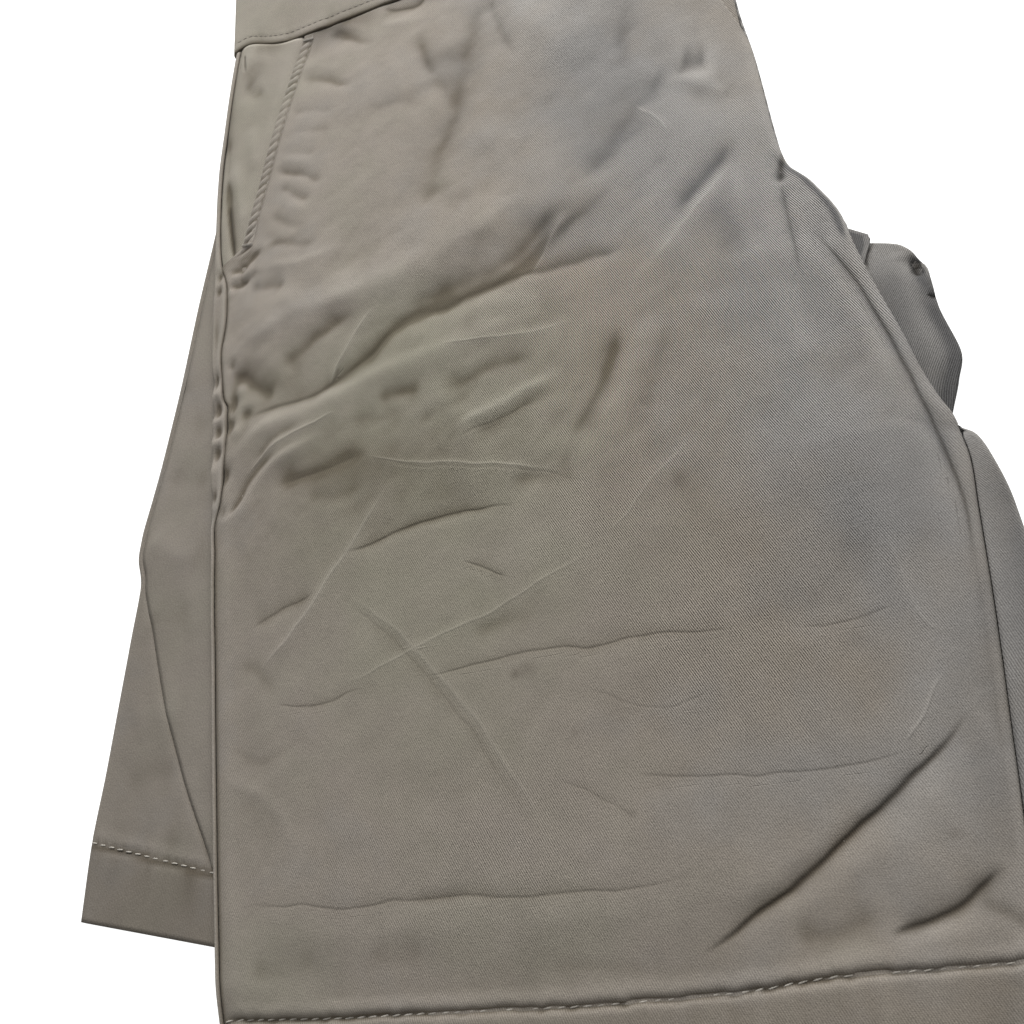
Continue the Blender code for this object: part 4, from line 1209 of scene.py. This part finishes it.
def buildLeftFront(material):
    rows, grain = [], []
    for start, run, width, up, seamIn, v in leftLegRows(leftRowCount):
        base, top = level(1, up) - 0.1, level(2, start[1])
        radius = (top - base) / 2
        stripAside = np.linspace(seamIn, radius, 30)
        stripX, stripUp = alongRow(start, run, stripAside)
        stripZ = top + foldHeight(stripX, stripUp, leftFolds) * smoothStep(stripAside, 1, 8)
        stripZ += leftHemStep(v, stripAside) * smoothStep(stripAside, 0.5, 4)
        stripZ += edgeRoll(seamIn - stripAside, 0.45, 1.0)
        arcAside, arcZ = roundFold(radius, radius, stripZ[-1], base)
        atFront = float(smoothStep(up, 252, 268))
        inset = foldTurn + 10.5 * (1 - atFront)
        lowAside = np.linspace(radius, width - inset, 12)
        rise = (level(4, up) - level(1, up)) / 2 - 0.15
        flatAside = width - inset + 3.0 * quarterTurn / quarterTurn[-1]
        roundAside = width - foldTurn + foldTurn * np.sin(quarterTurn)
        endAside = flatAside + (roundAside - flatAside) * atFront
        endZ = base + rise * (1 - np.cos(quarterTurn)) * atFront
        aside = np.concatenate([stripAside, arcAside, lowAside, endAside])
        z = np.concatenate([stripZ, arcZ, np.full(12, base), endZ])
        x, lineUp = alongRow(start, run, aside)
        rows.append(np.stack([x, lineUp, z], 1)[::-1])
        grain.append(np.stack([seamIn - arcLength(aside, z), np.full_like(aside, v)], 1)[::-1])
    rows = np.array(rows)
    # a little darker all over, and painted darker for its shade towards the crotch
    wearAndShade = wearAndShadeOf(rows[:, :, 2]) - 0.08 + leftHemShading(grain)
    seat = smoothStep(rows[:, :, 0], 110, 122)
    marks = {"wearAndShade": np.clip(wearAndShade - 0.2 * seat, 0, 1), "clear": 0.14 + 0.5 * seat, "cast": 0.5 + 0.5 * seat}
    return clothShell("leftFrontCloth", rows, grain, material, marks=marks, soften=True)


leftFront = buildLeftFront(washedTwill("washed cotton twill, left front", 0.84, -6.0))
print("left front:", len(leftFront.data.polygons), "faces")

facingFolds = (
    # line of (x, up) points, width above it, width below it, softness, rise
    (((-112.4, 376), (-111.4, 358), (-109.8, 344), (-108, 333), (-106.4, 323)), 2, 1.4, 0.6, -2.2),
    (((-108, 384), (-106, 368), (-103.5, 350), (-102, 336)), 3, 3, 1, 0.7),
    (((-113, 404), (-112, 388), (-112, 372), (-111, 356)), 2.2, 2.2, 0.8, -0.8),
    (((-104, 424), (-98, 417), (-92, 419)), 4, 3, 1.5, -0.8),
    (((-106, 436), (-98, 434), (-88, 436)), 4, 3, 1.5, 0.5),
    (((-100, 402), (-98, 388), (-97, 372)), 4, 4, 2, 0.6),
)
facingPaintedShading = (
    # painted shade along the slit where the facing parts from the side, by the pocket's top and under the
    # waistband: line, width on its left and right, softness, lighter or darker
    (((-112.4, 376), (-111.4, 358), (-109.8, 344), (-108, 333), (-106.4, 323)), 1.8, 1.1, 0.8, -0.8),
    (((-104, 436), (-101, 431), (-99, 425)), 3, 3, 1.5, -0.25),
    (((-110, 420), (-111, 405), (-112, 388)), 2.4, 2, 1, -0.2),
    (((-100, 448), (-92, 446), (-80, 445)), 4, 4, 1.5, -0.3),
)
facingLines = (
    # line, width, depth: the slit where the facing parts from the side, and the side seam's end, both
    # painted dark for their shade
    (((-111.6, 360), (-110.2, 346), (-108.4, 334), (-106.8, 324)), 0.8, 1),
    (((-104, 446), (-103.6, 441), (-103.4, 435)), 0.6, 0.8),
)


facingSpec = {"below": 5.0, "under": 9.0, "slip": 1.35}  # how far it runs on under the front, and where


def buildFacing(material):
    rows, grain = [], []
    for up in rowsOf(pocket["bottomUp"] - facingSpec["below"], waist["up"] - cloth["gap"], 1.7):
        left, right = legEdge(2, up) + 0.35, mouthX(up) + facingSpec["under"]
        x = np.linspace(left, right, 34)
        high = level(4, up) - level(3, up)
        beside = mouthX(up) - x
        z = rightBackZ(x, up) + high - (high - facingSpec["slip"]) * smoothStep(-beside, -2.0, 1.0)
        lift = 0.75 * smoothStep(beside, 0.5, 6) * smoothStep(x - left, 0, 5)
        z += lift + foldHeight(x, np.full_like(x, up), facingFolds) * smoothStep(beside, -1.0, 1.5)
        z += edgeRoll(x - left, 0.5, 0.9) + 0.15 * softNoise(x, up, 9, 51)
        rows.append(np.stack([x, up + waistRise(x, up), z], 1))
        grain.append(np.stack([x, np.full_like(x, up)], 1))
    rows = np.array(rows)
    x, up = rows[:, :, 0], rows[:, :, 1]
    wearAndShade = wearAndShadeOf(rows[:, :, 2]) + foldHeight(x, up, facingPaintedShading) + 0.1 * softNoise(x, up, 14, 52)
    marks = {"wearAndShade": np.clip(wearAndShade, 0, 1), "clear": np.full_like(x, 0.14), "cast": np.full_like(x, 0.26)}
    marks |= creaseMarks(x, up, facingLines)
    return clothShell("pocketFacingCloth", rows, grain, material, marks=marks, soften=True)


facing = buildFacing(washedTwill("washed cotton twill, pocket facing", 1.03))
print("pocket facing:", len(facing.data.polygons), "faces")


band = {
    "seamStitch": 5.0,
    "topStitch": 3.0,
    "thick": 1.5,
    "columns": (160, 40),  # above the fold at the side, and under it
    "rows": 40,
}
bandLevels = [float(level(number, waist["up"])) for number in range(1, 5)]
bandHalves = {
    # upper and lower height, the side's fold, upper and lower end
    "waistbandRightCloth": (bandLevels[3], bandLevels[2], -110.5, 119.0, 116.0),
    "waistbandLeftCloth": (bandLevels[1], 1.1, -108.5, 116.0, 121.0),
}


def bandRise(fromSeam, arc):
    # how far the waistband's cloth stands off its level, puckered along the seam
    fromTop = waist["band"] - fromSeam
    puff = 0.35 * (1 - np.exp(-fromSeam / 1.6)) * (1 - np.exp(-fromTop / 1.6))
    groove = -0.16 * hump(fromSeam - band["seamStitch"], 0.8) - 0.2 * hump(fromTop - band["topStitch"], 0.8)
    pucker = 0.3 * softNoise(arc, arc * 0 + fromSeam * 0.2, 5.5, 61) * hump(fromSeam, 9)
    wave = 0.35 * softNoise(arc, arc * 0 + fromSeam * 0.5, 24, 62) * smoothStep(fromSeam, 0, 10)
    return 0.3 + puff + groove + pucker + wave


def buildWaistband(name, material):
    upper, lower, sideX, upperEnd, lowerEnd = bandHalves[name]
    above, under = band["columns"]
    radius = (upper - lower) / 2
    foldX, foldZ = roundFold(sideX + radius, radius, upper, lower)
    topX = np.linspace(upperEnd, sideX + radius, above)
    lowX = np.linspace(sideX + radius, lowerEnd, under)
    x = np.concatenate([topX, foldX, lowX])
    base = np.concatenate([np.full(above, upper), foldZ, np.full(under, lower)])
    outwards = (base - (upper + lower) / 2) / radius
    arc = arcLength(x, base)
    rows, grain, wearAndShade = [], [], []
    for fromSeam in np.linspace(0, waist["band"], band["rows"]):
        y = waist["up"] + cloth["gap"] + fromSeam + waistRise(x, waist["up"])
        rows.append(np.stack([x, y, base + outwards * bandRise(fromSeam, arc)], 1)[::-1])
        grain.append(np.stack([-arc, np.full_like(arc, fromSeam)], 1)[::-1])
        # a painted shadow along the waistband's seam and in its seam stitching's groove
        seamShade = 0.5 * hump(fromSeam, 1.9) + 0.1 * hump(fromSeam - band["seamStitch"], 0.7)
        wearAndShade.append(np.full_like(arc, -seamShade))
    rows = np.array(rows)
    blotches = 0.1 * softNoise(rows[:, :, 0], rows[:, :, 1], 16, 64)
    wearAndShade = np.clip(np.clip(wearAndShadeOf(rows[:, :, 2]) + np.array(wearAndShade), 0, 1) + blotches, 0, 1)
    marks = {"wearAndShade": wearAndShade, "clear": np.full_like(wearAndShade, 0.14), "cast": np.full_like(wearAndShade, 0.3)}
    return clothShell(name, rows, grain, material, thick=band["thick"], marks=marks)


bandTwill = washedTwill("washed cotton twill, waistband", 1.0)
bandRight, bandLeft = [buildWaistband(name, bandTwill) for name in bandHalves]
print("waistband done")


def flatStrip(name, x, ups, heightAt, material, thick=None):
    # a straight strip of cloth over the grid of x and up
    x, up = np.meshgrid(x, ups)
    return clothShell(name, np.stack([x, up, heightAt(x, up)], 2), np.stack([x, up], 2), material, thick)


shieldSpec = {"left": 101.0, "right": 121.0, "fromUp": 352.0, "proud": 1.7}


def shieldZ(x, up):
    return rightBackZ(x, up) + shieldSpec["proud"]


shield = flatStrip(
    "flyShieldCloth",
    np.linspace(shieldSpec["left"], shieldSpec["right"], 14),
    rowsOf(shieldSpec["fromUp"], waist["up"] - cloth["gap"], 3),
    shieldZ,
    washedTwill("washed cotton twill, fly shield", 0.9),
)
print("fly shield done")

loop = {"x": 34.0, "width": 10.0, "fromUp": 437.0, "toUp": 485.0, "thick": 1.0, "stitchAside": 3.3}
loop |= {"proud": 1.75, "lift": 0.7}


def loopZ(x, up):
    # sewn down at both ends, standing a little off the waistband between them
    share = (up - loop["fromUp"]) / (loop["toUp"] - loop["fromUp"])
    edge = np.abs(x - loop["x"]) / (loop["width"] / 2)
    lifted = loop["lift"] * within(share, 0, 0.12, 0.9, 1)
    return bandLevels[3] + loop["proud"] + lifted + 0.12 * np.cos(edge * math.tau) - 0.35 * edge**6


beltLoop = flatStrip(
    "beltLoopCloth",
    loop["x"] + np.linspace(-0.5, 0.5, 15) * loop["width"],
    np.linspace(loop["fromUp"], loop["toUp"], 40),
    loopZ,
    washedTwill("washed cotton twill, belt loop", 1.0),
    loop["thick"],
)
print("belt loop done")


def stitchTree(material):
    tree = bpy.data.node_groups.new("stitch run", "GeometryNodeTree")
    face = tree.interface
    face.new_socket("Geometry", in_out="INPUT", socket_type="NodeSocketGeometry")
    for label in ("Pitch", "Stitch length", "Thread thickness", "Slant", "Unevenness"):
        face.new_socket(label, in_out="INPUT", socket_type="NodeSocketFloat")
    face.new_socket("Geometry", in_out="OUTPUT", socket_type="NodeSocketGeometry")
    run = addNode(tree, "NodeGroupInput", out=None)
    thick, uneven = run["Thread thickness"], run["Unevenness"]
    curve = addNode(tree, "GeometryNodeMeshToCurve", {"Mesh": run["Geometry"]})
    spacing = {"mode": "LENGTH", "Curve": curve, "Length": run["Pitch"]}
    spaced = addNode(tree, "GeometryNodeResampleCurve", spacing)
    bead = addNode(tree, "GeometryNodeMeshUVSphere", {"Segments": 7, "Rings": 5, "Radius": 0.5})
    size = addNode(tree, "ShaderNodeCombineXYZ", {0: run["Stitch length"], 1: thick, 2: thick})
    tangent = addNode(tree, "GeometryNodeInputTangent")
    aligned = addNode(tree, "FunctionNodeAlignRotationToVector", {"axis": "X", "Vector": tangent})
    back = addNode(tree, "ShaderNodeMath", {"operation": "MULTIPLY", 0: uneven, 1: -1.0})
    spread = {"data_type": "FLOAT", "Seed": 5, 2: back, 3: uneven}
    jitter = addNode(tree, "FunctionNodeRandomValue", spread, 1)
    angle = addNode(tree, "ShaderNodeMath", {"operation": "ADD", 0: run["Slant"], 1: jitter})
    twist = addNode(tree, "ShaderNodeCombineXYZ", {2: angle})
    turning = {"rotation_space": "LOCAL", "Rotation": aligned, "Rotate By": twist}
    turned = addNode(tree, "FunctionNodeRotateRotation", turning)
    placing = {"Points": spaced, "Instance": bead, "Rotation": turned, "Scale": size}
    placed = addNode(tree, "GeometryNodeInstanceOnPoints", placing)
    real = addNode(tree, "GeometryNodeRealizeInstances", {"Geometry": placed})
    smooth = addNode(tree, "GeometryNodeSetShadeSmooth", {"Geometry": real})
    done = addNode(tree, "GeometryNodeSetMaterial", {"Material": material, "Geometry": smooth})
    addNode(tree, "NodeGroupOutput", {"Geometry": done}, out=None)
    return tree


stitchKinds = {
    # pitch, length and thread's thickness in mm, slant in degrees, unevenness
    "hem": (4.0, 3.3, 0.62, 9, 0.06),
    "left hem": (4.0, 2.9, 0.62, 6, 0.06),
    "pocket": (3.2, 2.7, 0.5, 0, 0.06),
    "band": (3.1, 2.4, 0.45, 0, 0.06),
    "loop": (3.0, 2.4, 0.45, 0, 0.06),
    "tack": (0.55, 1.9, 0.42, 90, 0.16),
    "button": (0.5, 3.9, 0.5, 90, 0.12),
}


def sewRun(name, tree, kind, points):
    # points in mm along the seam; gives a plain mesh of the whole run
    pitch, length, thick, slant, uneven = stitchKinds[kind]
    mesh = bpy.data.meshes.new(name + " path")
    places = [(x * mm, (up + hemY) * mm, z * mm) for x, up, z in points]
    mesh.from_pydata(places, [(i, i + 1) for i in range(len(places) - 1)], [])
    path = newObject(name + " path", mesh)
    modifier = path.modifiers.new("stitches", "NODES")
    modifier.node_group = tree
    values = {
        "Pitch": pitch * mm,
        "Stitch length": length * mm,
        "Thread thickness": thick * mm,
        "Slant": math.radians(slant),
        "Unevenness": uneven,
    }
    for item in tree.interface.items_tree:
        if item.name in values:
            modifier[item.identifier] = values[item.name]
    bpy.context.view_layer.update()
    evaluated = path.evaluated_get(bpy.context.evaluated_depsgraph_get())
    sewn = newObject(name, bpy.data.meshes.new_from_object(evaluated))
    bpy.data.objects.remove(path)
    return sewn


threadLook = {"hem": "b3ada3", "tonal": "7c766c"}


def sewingThread(name, color):
    # spun polyester sewing thread: two plies, faint shine, a fuzz that dulls it
    material, tree, shader = newMaterial(name)
    place = addNode(tree, "ShaderNodeTexCoord", out="Object")
    plies = {"Scale": 1 / (0.5 * mm), "Detail": 2.0, "Vector": place}
    ply = addNode(tree, "ShaderNodeTexNoise", plies, "Fac")
    dark = tuple(c * 0.62 for c in hexColor(color)[:3]) + (1,)
    tone = twoTone(tree, ply, (0.3, dark), (0.65, hexColor(color)))
    bump = addNode(tree, "ShaderNodeBump", {"Strength": 0.6, "Distance": 0.05 * mm, "Height": ply})
    setNode(tree, shader, {"Base Color": tone, "Normal": bump, "Roughness": 0.7, "Sheen Weight": 0.15})
    return material


paleThread = stitchTree(sewingThread("spun polyester thread, pale", threadLook["hem"]))
tonalThread = stitchTree(sewingThread("spun polyester thread, tonal", threadLook["tonal"]))
lift = cloth["thick"] / 2 + 0.1

hemXs = np.arange(-101, 138.5, 2.0)
hemUps = hemLineUp(hemXs)
hemRun = list(zip(hemXs, hemUps, frontZ(hemXs, hemUps) + lift))
hemStitches = sewRun("hemStitches", paleThread, "hem", hemRun)

mouthUps = np.arange(331, 443, 2.0)
mouthXs = mouthX(mouthUps) + pocket["stitchIn"]
mouthRun = list(zip(mouthXs, mouthUps, frontZ(mouthXs, mouthUps) + lift - 0.1))
mouthStitches = sewRun("pocketStitches", tonalThread, "pocket", mouthRun)


def sewLeftHem():
    start, run, *_ = min(leftLegRows(400), key=lambda row: abs(row[-1] - leftHemRise))
    aside = np.arange(1.5, 92, 1.5)
    along = np.array((-run[1], run[0]))
    hemAt = leftHemAt(aside)
    x, up = alongRow(start, run, aside) + along[:, None] * (hemAt - leftHemRise)
    z = level(2, start[1]) + foldHeight(x, up, leftFolds) + leftHemStep(hemAt, aside) + lift
    z += 0.25 * softNoise(x, up, 22, 41) + 0.1
    return sewRun("leftHemStitches", paleThread, "left hem", list(zip(x, up, z)))


leftHemStitches = sewLeftHem()


def sewBand(name, fromSeam):
    # topstitching along the waistband's upper face
    sideX, upperEnd = bandHalves["waistbandRightCloth"][2:4]
    x = np.arange(sideX + 3.5, upperEnd - 2, 2.0)
    up = waist["up"] + cloth["gap"] + fromSeam + waistRise(x, waist["up"])
    z = bandLevels[3] + bandRise(fromSeam, upperEnd - x) + band["thick"] / 2 + 0.05
    return sewRun(name, tonalThread, "band", list(zip(x, up, z)))


bandStitches = [
    sewBand("waistSeamStitches", band["seamStitch"]),
    sewBand("waistTopStitches", waist["band"] - band["topStitch"]),
]


def barTack(name, start, end, z):
    # a dense zigzag that holds an end under strain
    line = [(start[0], start[1], z), (end[0], end[1], z)]
    return sewRun(name, tonalThread, "tack", line)


loopStitches = []
ups = np.arange(loop["fromUp"] + 2.5, loop["toUp"] - 2, 1.5)
for side, aside in (("left", -loop["stitchAside"]), ("right", loop["stitchAside"])):
    xs = np.full_like(ups, loop["x"] + aside)
    run = list(zip(xs, ups, loopZ(xs, ups) + loop["thick"] / 2 + 0.05))
    loopStitches.append(sewRun("beltLoopStitches_" + side, tonalThread, "loop", run))
for end, up in (("lower", loop["fromUp"] + 1.4), ("upper", loop["toUp"] - 1.6)):
    ends = [(loop["x"] + aside, up) for aside in (-4.2, 4.2)]
    high = float(loopZ(loop["x"], up)) + loop["thick"] / 2 + 0.1
    loopStitches.append(barTack("beltLoopTack_" + end, *ends, high))
pocketTacks = []
for end, up in (("lower", 331.5), ("upper", 440.5)):
    left, right = float(mouthX(up)) + 0.4, float(mouthX(up)) + pocket["stitchIn"] + 0.6
    high = float(np.max(frontZ(np.linspace(left, right, 5), up))) + lift
    pocketTacks.append(barTack("pocketTack_" + end, (left, up), (right, up - 0.6), high))

button = {"x": 109.0, "up": 465.0, "holeAt": 1.49, "seatZ": 11.75, "reach": 0.5}
buttonThreads = []
for side, aside in (("lower", -button["holeAt"]), ("upper", button["holeAt"])):
    up = button["up"] + aside
    line = [(button["x"], up + way * button["reach"], button["seatZ"]) for way in (-1, 1)]
    buttonThreads.append(sewRun("buttonThread_" + side, paleThread, "button", line))
print("stitches done")


def polishedHorn(name):
    # a button turned from horn and polished: streaky brown growth layers, a soft waxy gloss
    material, tree, shader = newMaterial(name)
    place = addNode(tree, "ShaderNodeTexCoord", out="Object")
    long, fine = 1 / (9 * mm), 1 / (2.2 * mm)
    streaked = {"Scale": (long, fine, fine), "Rotation": (0, 0, math.radians(35)), "Vector": place}
    across = addNode(tree, "ShaderNodeMapping", streaked)
    streaks = {"Scale": 1.0, "Detail": 5.0, "Distortion": 0.8, "Vector": across}
    layers = addNode(tree, "ShaderNodeTexNoise", streaks, "Fac")
    tone = twoTone(tree, layers, (0.34, hexColor("3a2f27")), (0.7, hexColor("8f7c66")))
    scuffed = {"Scale": 1 / (0.8 * mm), "Detail": 3.0, "Vector": place}
    scuffs = addNode(tree, "ShaderNodeTexNoise", scuffed, "Fac")
    gloss = addNode(tree, "ShaderNodeMapRange", {"To Min": 0.28, "To Max": 0.46, "Value": scuffs})
    bump = addNode(tree, "ShaderNodeBump", {"Strength": 0.2, "Distance": 0.04 * mm, "Height": scuffs})
    setNode(tree, shader, {"Base Color": tone, "Roughness": gloss, "Normal": bump, "IOR": 1.54})
    return material


for node, material in (("waistband_button", polishedHorn("polished horn")), ("hidden_layers", bandTwill)):
    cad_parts[node].data.materials.clear()
    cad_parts[node].data.materials.append(material)

cameraSpec = {
    "place": (0.1100, -0.2047, 0.3130),
    "right": (0.9363, -0.0813, -0.3418),
    "up": (0.2053, 0.9160, 0.3447),
    "lens": 35.16,
}


def addCamera():
    right, up = Vector(cameraSpec["right"]).normalized(), Vector(cameraSpec["up"])
    up = (up - up.dot(right) * right).normalized()
    back = right.cross(up)
    turned = Matrix((right, up, back)).transposed().to_4x4()
    camera = newObject("camera", bpy.data.cameras.new("camera"))
    camera.matrix_world = Matrix.Translation(cameraSpec["place"]) @ turned
    camera.data.lens = cameraSpec["lens"]
    camera.data.sensor_width = 36
    camera.data.clip_start = 0.01
    bpy.context.scene.camera = camera


floorSpec = {"half": 3.0, "color": "9d9d9b", "glow": 1.0}  # a lit sweep, white behind the cloth


def addFloor():
    material, tree, shader = newMaterial("white seamless paper")
    lit = {"Emission Color": (1, 1, 1, 1), "Emission Strength": floorSpec["glow"]}
    setNode(tree, shader, {"Base Color": hexColor(floorSpec["color"]), "Roughness": 0.95} | lit)
    half = floorSpec["half"]
    corners = [(-half, -half, 0), (half, -half, 0), (half, half, 0), (-half, half, 0)]
    putMesh("floor", corners, [(0, 1, 2, 3)], material)


lights = {
    # place, size, power, in metres and watts
    "window": ((0.38, 1.45, 0.95), 1.3, 60.0),
    "room": ((-0.5, -0.6, 1.7), 1.6, 6.0),
}
skyStrength = 0.215


def addLights():
    for name, (place, size, power) in lights.items():
        lamp = bpy.data.lights.new(name, "AREA")
        lamp.size, lamp.energy = size, power
        made = newObject(name, lamp)
        turned = (-Vector(place)).to_track_quat("-Z", "Y").to_matrix().to_4x4()
        made.matrix_world = Matrix.Translation(place) @ turned
    world = bpy.data.worlds.new("studio")
    bpy.context.scene.world = world
    world.use_nodes = True
    tree = world.node_tree
    white = {"Color": (1, 1, 1, 1)}
    ambient = tree.nodes["Background"]
    setNode(tree, ambient, white | {"Strength": skyStrength})
    backdrop = addNode(tree, "ShaderNodeBackground", white | {"Strength": 1.0})
    seen = addNode(tree, "ShaderNodeLightPath", out="Is Camera Ray")
    both = addNode(tree, "ShaderNodeMixShader", {0: seen, 1: ambient.outputs[0], 2: backdrop})
    setNode(tree, tree.nodes["World Output"], {"Surface": both})


addCamera()
addFloor()
addLights()
bpy.context.scene.view_settings.view_transform = "Standard"

frontStitches = [hemStitches, mouthStitches, *pocketTacks]
sheets = (
    # piece, node, cut width and length, cut area in m2, how it lies, what on, what is sewn on it
    (leftFront, "left_front", (0.29, 0.50), 0.118, "laid", (), []),
    (leftBack, "left_back", (0.315, 0.50), 0.115, "laid", (leftFront, "hidden_layers"), [leftHemStitches]),
    (rightBack, "right_back", (0.315, 0.50), 0.124, "folded", (leftBack, "hidden_layers"), []),
    (rightFront, "right_front", (0.28, 0.50), 0.112, "laid", (rightBack,), frontStitches),
    (facing, "right_pocket_facing", (0.045, 0.128), 0.0048, "laid", (rightBack,), []),
    (bandLeft, "waistband_left", (0.465, 0.047), None, "folded", (), []),
    (bandRight, "waistband_right", (0.465, 0.047), None, "folded", (bandLeft,), bandStitches),
    (shield, "fly_shield", (0.022, 0.094), None, "laid", (rightBack,), []),
    (beltLoop, "right_front_belt_loop", (0.011, 0.050), None, "laid", (bandRight,), loopStitches),
)
for piece, node, flat, area, held, restsOn, sewnOn in sheets:
    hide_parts(node)
    for part in (piece, *sewnOn):
        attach(part, "root")
    names = [below if isinstance(below, str) else below.name for below in restsOn]
    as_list(sewnOn)
for thread in buttonThreads:
    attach(thread, "root")
